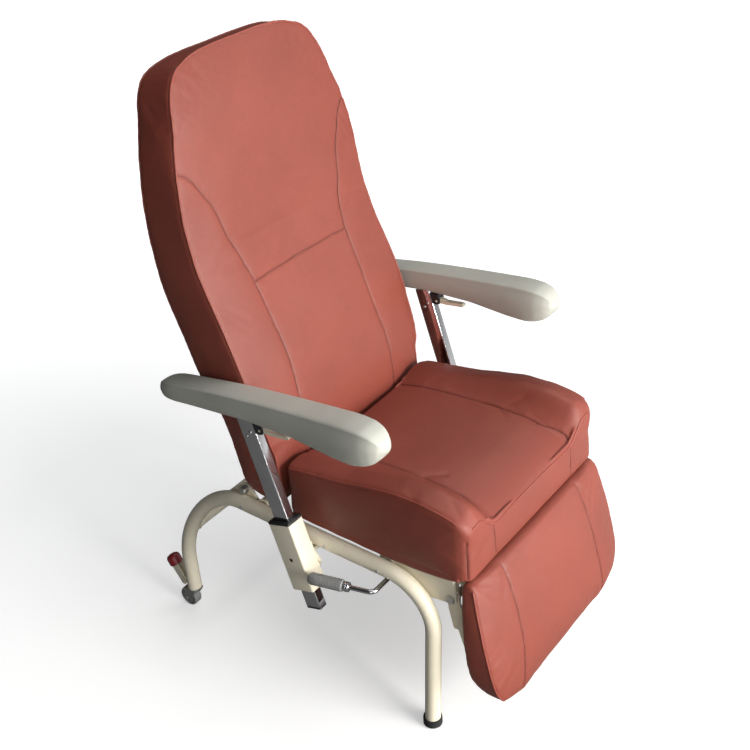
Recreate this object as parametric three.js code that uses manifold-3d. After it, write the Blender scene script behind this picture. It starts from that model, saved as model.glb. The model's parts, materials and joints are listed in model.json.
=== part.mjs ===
// Patient recliner chair: bent-tube base with two front feet and two braked rear
// castors, contoured seat, reclining backrest, rising leg rest and two
// height-adjustable armrests. Millimetres, +Z up, the sitter faces -Y and the
// sitter's left hand is on +X. Origin: centre of the footprint, on the floor.
// Paired pieces are built on the sitter's right (-X) and mirrored to the left.
import * as THREE from 'three';
import { mergeVertices } from 'three/addons/utils/BufferGeometryUtils.js';
import createManifold from 'manifold-3d';

const manifold = await createManifold();
manifold.setup();

// ---------------------------------------------------------- shared dimensions
// Places given as pairs are [y, z].
const RAD = Math.PI / 180;
const Y_SHIFT = -1.5;           // brings the footprint centre to Y = 0
const GAP = 0.4;                // assembly gap between neighbouring solids
const FRAME_X = 234.7;          // centre plane of a side frame
const TUBE_R = 15;              // side frame tube
const CROSS_R = 12.5;           // cross tubes
const FRAME_FACE_X = FRAME_X - TUBE_R;
const INNER_X = FRAME_FACE_X - GAP;    // outer end of everything between the side frames
const FRONT_CROSS = [-175, 337.2];
const MID_CROSS = [118, 348.8];
const REAR_CROSS = [318.5, 224];
const FOOT_Y = -265;
const REAR_LEG_Y = 343;
const BRACKET_T = 5;            // hinge brackets welded inside the side frames
const BACK_PIVOT = [158, 374];
const LEG_PIVOT = [-306, 314];
const SPRING_X = -40;           // plane of the gas spring and its crank
const LINK_X = 70;              // plane of the push link's cranks

// ------------------------------------------------------------------ materials
const standard = options => new THREE.MeshStandardMaterial(options);
const cream = () => standard({ color: 0xe8dfc8, roughness: 0.38, metalness: 0.1 });
const vinyl = () => standard({ color: 0xb0604f, roughness: 0.5, metalness: 0 });
const chrome = () => standard({ color: 0xd8dadc, roughness: 0.12, metalness: 1 });
const steel = () => standard({ color: 0xa8aaad, roughness: 0.35, metalness: 0.9 });
const black = () => standard({ color: 0x1c1c1e, roughness: 0.6, metalness: 0 });
const grey = () => standard({ color: 0x8d8d8a, roughness: 0.6, metalness: 0 });
const armFoam = () => standard({ color: 0xc9c8bd, roughness: 0.6, metalness: 0 });
const ply = () => standard({ color: 0xc49a6c, roughness: 0.7, metalness: 0 });
const red = () => standard({ color: 0xa8202a, roughness: 0.4, metalness: 0 });

// ------------------------------------------------------- meshes and booleans
// Weld the vertices, drop collapsed triangles and turn the faces outwards.
function clean(source) {
  const loose = source.index ? source.toNonIndexed() : source;
  loose.deleteAttribute('normal');
  loose.deleteAttribute('uv');
  const geometry = mergeVertices(loose, 1e-4);
  const position = geometry.attributes.position;
  const corners = geometry.index.array;
  const kept = [];
  for (let i = 0; i < corners.length; i += 3) {
    const [first, second, third] = corners.slice(i, i + 3);
    if (first !== second && second !== third && first !== third) kept.push(first, second, third);
  }
  const vertex = i => new THREE.Vector3().fromBufferAttribute(position, kept[i]);
  let volume = 0;
  for (let i = 0; i < kept.length; i += 3) {
    volume += vertex(i).dot(vertex(i + 1).cross(vertex(i + 2)));
  }
  if (volume < 0) {
    for (let i = 0; i < kept.length; i += 3) {
      [kept[i + 1], kept[i + 2]] = [kept[i + 2], kept[i + 1]];
    }
  }
  geometry.setIndex(kept);
  return geometry;
}

function toSolid(source) {
  const geometry = clean(source);
  return new manifold.Manifold(new manifold.Mesh({
    numProp: 3,
    vertProperties: new Float32Array(geometry.attributes.position.array),
    triVerts: new Uint32Array(geometry.index.array),
  }));
}

function fromSolid(solid) {
  const mesh = solid.getMesh();
  const geometry = new THREE.BufferGeometry();
  const positions = new Float32Array(mesh.vertProperties);
  geometry.setAttribute('position', new THREE.BufferAttribute(positions, 3));
  geometry.setIndex(Array.from(mesh.triVerts));
  return geometry;
}

const union = (...geometries) =>
  fromSolid(geometries.map(toSolid).reduce((whole, next) => whole.add(next)));
const cut = (body, ...tools) =>
  fromSolid(tools.reduce((rest, tool) => rest.subtract(toSolid(tool)), toSolid(body)));

const group = new THREE.Group();
group.position.y = Y_SHIFT;

function part(name, source, material) {
  const geometry = clean(source);
  geometry.computeVertexNormals();
  const mesh = new THREE.Mesh(geometry, material());
  mesh.name = name;
  group.add(mesh);
}

// the given right-hand piece and its mirror image
function pair(name, geometry, material) {
  part(`${name}_right`, geometry, material);
  part(`${name}_left`, geometry.clone().scale(-1, 1, 1), material);
}

// ------------------------------------------------------------------- outlines
const toVectors = points => points.map(([x, y]) => new THREE.Vector2(x, y));

function trace(path, points) {
  points.forEach(([x, y], i) => (i ? path.lineTo(x, y) : path.moveTo(x, y)));
  path.closePath();
  return path;
}

// turn is 1 for anticlockwise, -1 for clockwise
function circle([x, y], radius, sides, turn = 1) {
  return Array.from({ length: sides }, (_, i) => {
    const angle = turn * 2 * Math.PI * i / sides;
    return [x + radius * Math.cos(angle), y + radius * Math.sin(angle)];
  });
}
const roundHole = (centre, radius, sides = 16) => circle(centre, radius, sides, -1);

// arc points, angles in degrees from +Y towards +Z
function arc([y, z], radius, from, to, steps) {
  return Array.from({ length: steps + 1 }, (_, i) => {
    const angle = (from + (to - from) * i / steps) * RAD;
    return [y + radius * Math.cos(angle), z + radius * Math.sin(angle)];
  });
}

// two round ends joined by straight sides
function linkOutline(start, startRadius, startSteps, end, endRadius) {
  const angle = Math.atan2(end[1] - start[1], end[0] - start[0]) / RAD;
  return [
    ...arc(start, startRadius, angle + 90, angle + 270, startSteps),
    ...arc(end, endRadius, angle - 90, angle + 90, 6),
  ];
}

function roundedRect(xMin, xMax, yMin, yMax, radius, cornerSteps) {
  return [
    ...arc([xMax - radius, yMax - radius], radius, 0, 90, cornerSteps),
    ...arc([xMin + radius, yMax - radius], radius, 90, 180, cornerSteps),
    ...arc([xMin + radius, yMin + radius], radius, 180, 270, cornerSteps),
    ...arc([xMax - radius, yMin + radius], radius, 270, 360, cornerSteps),
  ];
}

// table rows are [station, value]; straight lines between them, flat beyond the ends
function interpolate(table, station) {
  if (station <= table[0][0]) return table[0][1];
  for (let i = 1; i < table.length; i++) {
    if (station > table[i][0]) continue;
    const [before, valueBefore] = table[i - 1];
    const [after, valueAfter] = table[i];
    return valueBefore + (valueAfter - valueBefore) * (station - before) / (after - before);
  }
  return table[table.length - 1][1];
}

// --------------------------------------------------------------------- solids
// a path given by fixed stations with their own tangents
class StationPath extends THREE.Curve {
  constructor({ points, tangents }) {
    super();
    this.points = points;
    this.tangents = tangents;
  }
  getPointAt(fraction) {
    return this.points[Math.round(fraction * (this.points.length - 1))].clone();
  }
  getTangentAt(fraction) {
    return this.tangents[Math.round(fraction * (this.tangents.length - 1))].clone();
  }
}

function roundBar(stations, radius, sides) {
  return new THREE.ExtrudeGeometry(trace(new THREE.Shape(), circle([0, 0], radius, sides)), {
    steps: stations.points.length - 1,
    bevelEnabled: false,
    extrudePath: new StationPath(stations),
  });
}

// stations of a straight run, one rounded corner and a second straight run
function bentPath(start, corner, end, radius, steps) {
  const into = corner.clone().sub(start).normalize();
  const out = end.clone().sub(corner).normalize();
  const bend = Math.acos(THREE.MathUtils.clamp(into.dot(out), -1, 1));
  const inward = out.clone().addScaledVector(into, -into.dot(out)).normalize();
  const centre = corner.clone()
    .addScaledVector(into, -radius * Math.tan(bend / 2))
    .addScaledVector(inward, radius);
  const points = [start];
  const tangents = [into];
  for (let i = 0; i <= steps; i++) {
    const angle = bend * i / steps;
    points.push(centre.clone()
      .addScaledVector(inward, -radius * Math.cos(angle))
      .addScaledVector(into, radius * Math.sin(angle)));
    tangents.push(into.clone().multiplyScalar(Math.cos(angle))
      .addScaledVector(inward, Math.sin(angle)));
  }
  points.push(end);
  tangents.push(out);
  return { points, tangents };
}

function cylinderX(xMin, xMax, y, z, radius, sides = 16) {
  return new THREE.CylinderGeometry(radius, radius, xMax - xMin, sides)
    .rotateZ(Math.PI / 2)
    .translate((xMin + xMax) / 2, y, z);
}

function cylinderY(yMin, yMax, x, z, radius, sides) {
  return new THREE.CylinderGeometry(radius, radius, yMax - yMin, sides)
    .translate(x, (yMin + yMax) / 2, z);
}

function cylinderZ(zMin, zMax, x, y, radius, sides) {
  return new THREE.CylinderGeometry(radius, radius, zMax - zMin, sides)
    .rotateX(Math.PI / 2)
    .translate(x, y, (zMin + zMax) / 2);
}

function box(xMin, xMax, yMin, yMax, zMin, zMax) {
  return new THREE.BoxGeometry(xMax - xMin, yMax - yMin, zMax - zMin)
    .translate((xMin + xMax) / 2, (yMin + yMax) / 2, (zMin + zMax) / 2);
}

// profile rows are [radius, height along Y]
const lathe = (profile, segments) => new THREE.LatheGeometry(toVectors(profile), segments);

const SHAPE_TO_YZ = new THREE.Matrix4().makeBasis(
  new THREE.Vector3(0, 1, 0), new THREE.Vector3(0, 0, 1), new THREE.Vector3(1, 0, 0));

// flat plate square to X; outline and hole points are [y, z]
function plate(outline, xMin, xMax, holes = []) {
  const shape = trace(new THREE.Shape(), outline);
  for (const hole of holes) shape.holes.push(trace(new THREE.Path(), hole));
  return new THREE.ExtrudeGeometry(shape, { depth: xMax - xMin, bevelEnabled: false })
    .applyMatrix4(SHAPE_TO_YZ)
    .translate(xMin, 0, 0);
}

// two like plates, one each side of the plane x
const cheeks = (outline, x, inner, outer, hole) => [
  plate(outline, x - outer, x - inner, [hole]),
  plate(outline, x + inner, x + outer, [hole]),
];

// closed skin through rings of equal point count, ends capped from their centres
function loft(rings) {
  const count = rings[0].length;
  const positions = rings.flat(2);
  const indices = [];
  for (let k = 0; k + 1 < rings.length; k++) {
    for (let i = 0; i < count; i++) {
      const here = k * count + i;
      const next = k * count + (i + 1) % count;
      indices.push(here, next, next + count, here, next + count, here + count);
    }
  }
  const cap = (k, flip) => {
    const centre = [0, 0, 0];
    for (const point of rings[k]) {
      for (let j = 0; j < 3; j++) centre[j] += point[j] / count;
    }
    const middle = positions.length / 3;
    positions.push(...centre);
    for (let i = 0; i < count; i++) {
      const here = k * count + i;
      const next = k * count + (i + 1) % count;
      if (flip) indices.push(middle, next, here);
      else indices.push(middle, here, next);
    }
  };
  cap(0, true);
  cap(rings.length - 1, false);
  const geometry = new THREE.BufferGeometry();
  geometry.setAttribute('position', new THREE.Float32BufferAttribute(positions, 3));
  geometry.setIndex(indices);
  return geometry;
}

// loft through level sections; section(z) gives the [x, y] outline at that height
const stack = (levels, section) => loft(levels.map(z => section(z).map(([x, y]) => [x, y, z])));

// level section of a cushion, with corners that tighten where it is thin
const cushionSection = (half, front, rear) =>
  roundedRect(-half, half, front, rear, Math.min(12, (rear - front) / 2.3), 2);

// half a ring of [x, z] points, top last, followed by its mirror image
const mirrorRing = half => [...half, ...half.slice().reverse().map(([x, z]) => [-x, z])];

// ----------------------------------------------------------------- base frame
function sideFrame() {
  const at = (y, z) => new THREE.Vector3(-FRAME_X, y, z);
  const frontBendRadius = 97;
  const railEnd = at(165, 350.7);
  const path = bentPath(at(FOOT_Y, 5.5), at(-281.4, 333), railEnd, frontBendRadius, 8);
  // the rail sweeps down into the rear leg
  const sweep = new THREE.CubicBezierCurve3(
    railEnd, at(240, 353.7), at(342, 235), at(REAR_LEG_Y, 130));
  for (let i = 1; i <= 12; i++) {
    path.points.push(sweep.getPoint(i / 12));
    path.tangents.push(sweep.getTangent(i / 12));
  }
  path.points.push(at(REAR_LEG_Y, 52));
  path.tangents.push(new THREE.Vector3(0, 0, -1));
  return roundBar(path, TUBE_R, 14);
}
pair('side_frame', sideFrame(), cream);

const crossTube = place => cylinderX(-INNER_X, INNER_X, ...place, CROSS_R);
const frontCrossSpace = () => cylinderX(-300, 300, ...FRONT_CROSS, CROSS_R + GAP);

// lug that carries the front end of the gas spring
const SPRING_LUG = [
  [-180, 332], [-164, 332], [-136, 312], [-136, 294], [-150, 292], [-162, 317], [-180, 327],
];
part('front_cross_tube', union(
  crossTube(FRONT_CROSS),
  plate(SPRING_LUG, SPRING_X - 12, SPRING_X - 8),
), cream);
part('mid_cross_tube', crossTube(MID_CROSS), cream);
part('rear_cross_tube', crossTube(REAR_CROSS), cream);

// rubber cups over the front leg ends
const FOOT_PROFILE = [
  [0, 0], [16, 0], [18.2, 2], [18.2, 16], [17.2, 18.5], [16.3, 18.5], [16.3, 4.6], [0, 4.6],
];
const foot = lathe(FOOT_PROFILE, 18).rotateX(Math.PI / 2).translate(-FRAME_X, FOOT_Y, 0);
pair('front_foot', foot, black);

// seat carrier: two long rails, a front bar and a rear bar, welded into one frame
function seatFrame() {
  const railRear = MID_CROSS[0] - CROSS_R - GAP;
  return union(
    box(-160, -140, -300, railRear, 351, 366.5),
    box(140, 160, -300, railRear, 351, 366.5),
    box(-213, 213, -306, -286, 351.2, 366.3),
    box(-150, 150, 60, 76, 352, 366.3),
  );
}
part('seat_frame', seatFrame(), cream);

// leg rest hinge brackets, inside the front legs
const LEG_BOLT_HOLE_R = 6.4;
const LEG_BRACKET = [
  [-156, 320], [-156, 366.4], [-309, 366.4], [-314, 340],
  ...arc(LEG_PIVOT, 11.5, 160, 290, 6),
  [-252, 297], [-215, 318.5], [-190, 320],
];
pair('legrest_bracket', cut(
  plate(LEG_BRACKET, -INNER_X, -INNER_X + BRACKET_T, [roundHole(LEG_PIVOT, LEG_BOLT_HOLE_R)]),
  frontCrossSpace(),
), cream);

// backrest hinge brackets, inside the rails, and the shaft threaded through them
const HINGE_SHAFT_R = 8;
const HINGE_BRACKET = [
  [134, 332], [206, 334], [206, 350],
  ...arc(BACK_PIVOT, 11.5, 40, 140, 5),
  [134, 356],
];
const hingeHole = roundHole(BACK_PIVOT, HINGE_SHAFT_R + 0.6);
pair('hinge_bracket', plate(HINGE_BRACKET, -INNER_X, -INNER_X + BRACKET_T, [hingeHole]), cream);
part('hinge_shaft', cylinderX(-(FRAME_X - 1), FRAME_X - 1, ...BACK_PIVOT, HINGE_SHAFT_R), steel);

// ----------------------------------------------------------------------- seat
const SEAT_HALF_W = 226;
const SEAT_FRONT = -348;
const SEAT_REAR = 48;
const SEAT_BOTTOM = 368;
const SEAT_BOARD_TOP = SEAT_BOTTOM + 12;

part('seat_board', stack([SEAT_BOTTOM, SEAT_BOARD_TOP], () => roundedRect(
  -SEAT_HALF_W + 6, SEAT_HALF_W - 6, SEAT_FRONT + 8, SEAT_REAR - 6, 22, 3)), ply);

// [y, z] along the crest of the side bolsters
const SEAT_SIDE_TOP = [
  [-348, 470], [-342, 482], [-334, 491], [-318, 499], [-294, 505], [-250, 510],
  [-214, 511], [-150, 503], [-91, 492], [0, 479], [48, 471],
];
// [y, z] along the lower middle of the seat
const SEAT_MID_TOP = [
  [-348, 436], [-342, 443], [-334, 449], [-318, 457], [-294, 464.5], [-250, 471],
  [-200, 473], [-100, 470], [0, 462], [48, 456],
];
// [y, half width]
const SEAT_HALF = [
  [-348, 208], [-344, 217], [-336, 224], [-322, 228], [30, 227.5], [42, 222], [48, 213],
];
const SEAT_STATIONS = [-348, -344, -336, -322, -294, -250, -205, -150, -90, -30, 30, 42, 48];

function seatCushion() {
  const bottom = SEAT_BOARD_TOP + GAP;
  return loft(SEAT_STATIONS.map(y => {
    const half = interpolate(SEAT_HALF, y);
    const side = interpolate(SEAT_SIDE_TOP, y);
    const middle = interpolate(SEAT_MID_TOP, y);
    const ring = mirrorRing([
      [half, bottom + 2], [half, side - 22],
      [half - 6, side - 7], [half - 20, side], [half - 44, side - 2],
      [132, middle + 3], [60, middle],
    ]);
    ring.push([-(half - 4), bottom], [-80, bottom], [80, bottom], [half - 4, bottom]);
    return ring.map(([x, z]) => [x, y, z]);
  }));
}
part('seat_cushion', seatCushion(), vinyl);

// ------------------------------------------------------------------- backrest
const BACK_BOARD_T = 11;
// [z, half width]
const BACK_HALF = [
  [370, 222], [400, 227], [480, 231], [520, 238], [560, 241.5], [640, 245], [700, 244],
  [760, 242.5], [840, 243.5], [900, 243], [940, 240.5], [980, 235], [1020, 226],
  [1060, 213.5], [1080, 207], [1100, 200.5], [1120, 191], [1140, 177], [1155, 160],
  [1167, 134], [1176, 100],
];
// [z, y] of the front of the cushion
const BACK_FRONT = [
  [370, 66], [400, 60], [440, 58], [480, 59], [520, 63.6], [560, 73.4], [600, 84.6],
  [640, 98], [680, 113], [720, 129.5], [760, 147.4], [800, 163.4], [840, 177.4],
  [880, 185.4], [920, 192], [960, 196.5], [1000, 203], [1040, 210.5], [1080, 217.6],
  [1120, 228], [1155, 238], [1176, 250],
];
// [z, y] of the rear of the board
const BACK_REAR = [
  [370, 108], [377, 130], [392, 146], [438, 157], [480, 163], [520, 166], [560, 177],
  [600, 198], [640, 215], [680, 229], [720, 246], [760, 262], [800, 272], [840, 278],
  [880, 283], [920, 285.5], [960, 288], [1000, 291], [1040, 296], [1080, 300],
  [1120, 305], [1155, 306], [1176, 296],
];
const BACK_LEVELS = [
  371, 377, 392, 438, 480, 520, 560, 600, 640, 680, 720, 760, 800, 840, 880, 920, 960,
  1000, 1040, 1080, 1110, 1135, 1155, 1168, 1176,
];
part('back_cushion', stack(BACK_LEVELS, z => cushionSection(
  interpolate(BACK_HALF, z),
  interpolate(BACK_FRONT, z),
  interpolate(BACK_REAR, z) - BACK_BOARD_T - GAP,
)), vinyl);

// the board stops short of the cushion at both ends
part('back_board', stack(BACK_LEVELS.filter(z => z >= 392 && z <= 1155), z => {
  const half = interpolate(BACK_HALF, z) - 3;
  const rear = interpolate(BACK_REAR, z);
  return roundedRect(-half, half, rear - BACK_BOARD_T, rear, 4, 1);
}), ply);

// cranks: length from the pivot, angle from straight down towards the rear
const BACK_CRANK = { pivot: BACK_PIVOT, length: 74, angle: 20 * RAD };
const LEG_CRANK = { pivot: LEG_PIVOT, length: 44, angle: 35 * RAD };
const crankEnd = ({ pivot: [y, z], length, angle }) =>
  [y + length * Math.sin(angle), z - length * Math.cos(angle)];
// height midway between the crank's end and its lowest reach
const crankMidHeight = ({ pivot, length, angle }) =>
  pivot[1] - length * (Math.cos(angle) + 1) / 2;
const BACK_CRANK_END = crankEnd(BACK_CRANK);
const LEG_CRANK_END = crankEnd(LEG_CRANK);

// tube that turns on the hinge shaft, with the two cranks welded on
const HINGE_TUBE_HALF_L = 183;
const HINGE_TUBE_BORE_R = 9.3;

function backHingeTube() {
  const length = 2 * HINGE_TUBE_HALF_L;
  const outer = 13;
  const tube = lathe([
    [HINGE_TUBE_BORE_R, 0], [outer, 0], [outer, length], [HINGE_TUBE_BORE_R, length],
    [HINGE_TUBE_BORE_R, 0],
  ], 18).rotateZ(-Math.PI / 2).translate(-HINGE_TUBE_HALF_L, ...BACK_PIVOT);
  const crank = x => plate(
    linkOutline(BACK_PIVOT, 19, 8, BACK_CRANK_END, 10), x - 2.5, x + 2.5,
    [roundHole(BACK_PIVOT, 10.5), roundHole(BACK_CRANK_END, 6.5)]);
  return union(tube, crank(SPRING_X), crank(LINK_X));
}
part('back_hinge_tube', backHingeTube(), cream);

// arms that rise from the pivot behind the backrest
const BACK_ARM = [
  ...arc(BACK_PIVOT, 17, 150, 350, 8),
  [187, 400], [190, 452], [200, 520], [216, 560], [206.5, 566], [190, 545], [168.5, 500],
  [165.6, 470], [160, 440], [153, 405],
];
pair('back_arm', plate(BACK_ARM, -190, -184, [roundHole(BACK_PIVOT, HINGE_TUBE_BORE_R)]), cream);

// ------------------------------------------------------ gas spring and link
const SPRING_Z = crankMidHeight(BACK_CRANK);
// [radius, y], open at the rear for the rod
const SPRING_PROFILE = [
  [0, -148], [7, -148], [7, -134], [11, -130], [11, 52], [9, 56], [4.8, 56], [4.8, -76],
  [0, -76],
];
part('gas_spring_cylinder', lathe(SPRING_PROFILE, 16).translate(SPRING_X, 0, SPRING_Z), black);

// rod, end block, side tongue and the pin through the crank
function gasSpringRod() {
  const pinY = BACK_CRANK_END[0];
  const left = SPRING_X - 8.5;
  const bottom = SPRING_Z - 6;
  const top = SPRING_Z + 6;
  return union(
    cylinderY(-14, pinY - 15, SPRING_X, SPRING_Z, 4, 12),
    box(left, SPRING_X + 4, pinY - 22, pinY - 14, bottom, top),
    box(left, left + 5, pinY - 22, pinY + 7, bottom, top),
    cylinderX(left, SPRING_X + 5, pinY, SPRING_Z, 3.2, 12),
  );
}
part('gas_spring_rod', gasSpringRod(), chrome);

// push link from the backrest crank to the leg rest crank
function linkBar() {
  const front = [LEG_CRANK_END[0], crankMidHeight(LEG_CRANK)];
  const rear = [BACK_CRANK_END[0], SPRING_Z];
  const pin = (place, radius) => cylinderX(LINK_X - 4, LINK_X + 4, ...place, radius, 12);
  return union(
    plate(linkOutline(front, 9, 6, rear, 9), LINK_X + 3.2, LINK_X + 8.2),
    pin(rear, 3.2),
    pin(front, 3),
  );
}
part('link_bar', linkBar(), steel);

// ------------------------------------------------------------------- leg rest
const LEG_ARM_OUTER_X = INNER_X - BRACKET_T - 3;
const LEG_ARM_INNER_X = LEG_ARM_OUTER_X - 5;
const SLIDE_PIN_Y = -315;
const SLIDE_PIN_R = 3.2;

// swinging arm with two pins that run in the slide's slot
function legrestArm() {
  const outline = [
    ...arc(LEG_PIVOT, 12, 0, 180, 8),
    [-318, 300], [-326, 285], [-326, 240], [-304, 240], [-294, 285],
  ];
  const hole = roundHole(LEG_PIVOT, LEG_BOLT_HOLE_R);
  const slidePin = z => cylinderX(
    -LEG_ARM_INNER_X - 1, -LEG_ARM_INNER_X + 8, SLIDE_PIN_Y, z, SLIDE_PIN_R, 12);
  return union(
    plate(outline, -LEG_ARM_OUTER_X, -LEG_ARM_INNER_X, [hole]), slidePin(247), slidePin(263));
}
pair('legrest_arm', legrestArm(), cream);

// tube between the arms, with the crank that the push link drives
function legrestCrossTube() {
  const end = LEG_ARM_INNER_X - GAP;
  const centre = [LEG_PIVOT[0] + 9, LEG_PIVOT[1] - 20];
  const crank = [...arc(centre, 10, 60, 240, 6), ...arc(LEG_CRANK_END, 11.5, 240, 420, 6)];
  return union(
    cylinderX(-end, end, ...centre, 7, 14),
    plate(crank, LINK_X - 2.5, LINK_X + 2.5, [roundHole(LEG_CRANK_END, 8.2)]),
  );
}
part('legrest_cross_tube', legrestCrossTube(), cream);

// hexagonal head and round shank
pair('legrest_pivot_bolt', union(
  cylinderX(-(FRAME_FACE_X + 5.2), -FRAME_FACE_X, ...LEG_PIVOT, 9, 6),
  cylinderX(-(FRAME_FACE_X + 2), -(LEG_ARM_INNER_X - 1), ...LEG_PIVOT, 5.8, 14),
), steel);

// slotted slide between arm and board
function legrestSlide() {
  const outline = [
    [-334.6, 347], [-337, 310], [-344.2, 205], [-346.5, 182], [-330, 168], [-306, 240],
    [-306, 347],
  ];
  const slotFront = SLIDE_PIN_Y - SLIDE_PIN_R - 1;
  const slotRear = SLIDE_PIN_Y + SLIDE_PIN_R + 1;
  const slot = [[slotFront, 242.5], [slotFront, 341], [slotRear, 341], [slotRear, 242.5]];
  const outerX = LEG_ARM_INNER_X - 2;
  return plate(outline, -outerX, -outerX + 5, [slot]);
}
pair('legrest_slide', legrestSlide(), cream);

const LEG_BOARD_T = 11.5;
// [z, half width]
const LEG_HALF = [
  [90, 72], [94, 116], [100, 156], [110, 188], [122, 208], [135, 219], [150, 228],
  [170, 234], [205, 237.5], [240, 237], [280, 234], [310, 230.5], [340, 226], [364, 221],
];
// [z, y] of the front of the pad
const LEG_FRONT = [
  [90, -398], [100, -407], [120, -408], [160, -403], [205, -397], [265, -386],
  [325, -372], [350, -366], [364, -358],
];
// [z, y] of the rear of the pad
const LEG_REAR = [
  [90, -394], [100, -388], [122, -376], [150, -364], [170, -360], [205, -356.5],
  [262, -352.5], [310, -349], [364, -346],
];
const LEG_PAD_LEVELS = [
  90, 94, 100, 110, 122, 135, 150, 170, 205, 240, 280, 310, 340, 356, 364,
];
const LEG_BOARD_LEVELS = [170, 205, 240, 280, 310, 340, 356];

part('legrest_pad', stack(LEG_PAD_LEVELS, z => cushionSection(
  interpolate(LEG_HALF, z), interpolate(LEG_FRONT, z), interpolate(LEG_REAR, z))), vinyl);
part('legrest_board', stack(LEG_BOARD_LEVELS, z => {
  const half = interpolate(LEG_HALF, z) - 5;
  const front = interpolate(LEG_REAR, z) + GAP;
  return roundedRect(-half, half, front, front + LEG_BOARD_T, 2.5, 1);
}), ply);

// ------------------------------------------------------------------- armrests
const POST_X = 277.5;
const POST_W = 20;
const POST_D = 35;
const POST_LEN = 392;                       // below the reference point
const POST_LEAN = 0.288;                    // radians, top towards the rear
const POST_FRONT_TOP = [52.3, 601.6];       // front edge of the post below the pad
const SLEEVE_W = 38;
const SLEEVE_D = 52;
const SLEEVE_L = 141;
const SLEEVE_WALL = 3;
const SLEEVE_TOP = 205;                     // distance down the post

// Set a piece built around the Z axis, front at -Y, onto the right-hand post,
// with its z = 0 the given distance down the post.
function onPost(geometry, distance) {
  const sin = Math.sin(POST_LEAN);
  const cos = Math.cos(POST_LEAN);
  const y = POST_FRONT_TOP[0] + (POST_D / 2) * cos - distance * sin;
  const z = POST_FRONT_TOP[1] - (POST_D / 2) * sin - distance * cos;
  return geometry.rotateX(-POST_LEAN).translate(-POST_X, y, z);
}

// upright rectangular bar, hollow if it has a wall
function rectBar(width, depth, length, { wall = 0, corner = 3, top = 0 } = {}) {
  const outline = (inset, radius) => toVectors(roundedRect(
    -width / 2 + inset, width / 2 - inset, -depth / 2 + inset, depth / 2 - inset, radius, 2));
  const shape = new THREE.Shape(outline(0, corner));
  if (wall) {
    shape.holes.push(new THREE.Path(outline(wall, Math.max(0.6, corner - wall)).reverse()));
  }
  return new THREE.ExtrudeGeometry(shape, { depth: length, bevelEnabled: false })
    .translate(0, 0, top - length);
}

pair('armrest_post', onPost(rectBar(POST_W, POST_D, POST_LEN + 8, { wall: 2 }), -8), chrome);

// plug that closes the foot of the post
pair('armrest_post_plug', onPost(union(
  rectBar(POST_W, POST_D, 4),
  rectBar(POST_W - 5, POST_D - 5, 16, { corner: 1, top: 15.5 }),
), POST_LEN + GAP), black);

// sleeve with its welded bracket to the side rail
const SLEEVE_BRACKET = [
  [-46, 312], [-20, 338], [10, 348], [28, 346], [22, 300], [8, 270], [-30, 262],
];
function armrestSleeve() {
  const innerFace = -(POST_X - SLEEVE_W / 2);
  const tube = rectBar(SLEEVE_W, SLEEVE_D, SLEEVE_L, { wall: SLEEVE_WALL });
  const bracket = union(
    plate(SLEEVE_BRACKET, innerFace - 0.6, innerFace + 6),
    box(innerFace + 5, -(FRAME_X - 7.5), -26, 16, 318, 327.6),
  );
  return union(onPost(tube, SLEEVE_TOP + 4), bracket);
}
pair('armrest_sleeve', armrestSleeve(), cream);

// nylon bush: lines the sleeve and caps its mouth
function sleeveBush() {
  const inset = 2 * (SLEEVE_WALL + GAP);
  const cap = rectBar(SLEEVE_W + 1, SLEEVE_D + 1, 4.2);
  const liner = rectBar(SLEEVE_W - inset, SLEEVE_D - inset, 120, { corner: 1.5, top: -3 });
  const bore = rectBar(POST_W + 1, POST_D + 1, 140, { corner: 3.4, top: 10 });
  return onPost(cut(union(cap, liner), bore), SLEEVE_TOP - 0.6);
}
pair('sleeve_bush', sleeveBush(), black);

// moulded pad, ends rounded in plan and profile
const ARM_PAD_X = 279.5;
// [y, z] of the top
const PAD_TOP = [
  [-236, 645], [-228, 657], [-214, 667], [-195, 672], [-170, 673], [-120, 670],
  [-33, 663], [86, 651], [180, 638], [240, 629], [256, 622], [263, 612],
];
// [y, z] of the underside
const PAD_BOTTOM = [
  [-236, 634], [-228, 620], [-214, 607], [-195, 599], [-176, 597], [-150, 599],
  [-94, 605], [-48, 609], [39, 608.5], [119, 602], [180, 597], [240, 592], [256, 595],
  [263, 602],
];
// [y, half width] near the top
const PAD_HALF_TOP = [
  [-236, 8], [-228, 17], [-214, 22.5], [-195, 25.5], [-170, 26.5], [-60, 25.5],
  [120, 24], [240, 23], [256, 18], [263, 8],
];
// [y, half width] at the widest height
const PAD_HALF_MID = [
  [-236, 10], [-228, 21], [-214, 29], [-195, 33.5], [-170, 35], [-100, 32], [0, 29.5],
  [120, 28], [240, 27], [256, 20], [263, 9],
];
const PAD_STATIONS = [
  -236, -228, -214, -195, -170, -120, -60, 0, 60, 120, 180, 240, 256, 263,
];

function armrestPad() {
  const pad = loft(PAD_STATIONS.map(y => {
    const top = interpolate(PAD_TOP, y);
    const bottom = interpolate(PAD_BOTTOM, y);
    const halfTop = interpolate(PAD_HALF_TOP, y);
    const halfMid = interpolate(PAD_HALF_MID, y);
    const height = top - bottom;
    return mirrorRing([
      [halfTop * 0.45, top], [halfTop, top - height * 0.08],
      [halfMid, top - height * 0.42], [halfMid * 0.99, top - height * 0.62],
      [halfMid * 0.82, bottom + height * 0.1], [halfMid * 0.5, bottom],
    ]).map(([x, z]) => [x - ARM_PAD_X, y, z]);
  }));
  // pocket for the head of the post
  const pocket = onPost(rectBar(POST_W + 1.2, POST_D + 1.2, 60), -9);
  return cut(pad, pocket);
}
pair('armrest_pad', armrestPad(), armFoam);

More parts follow.
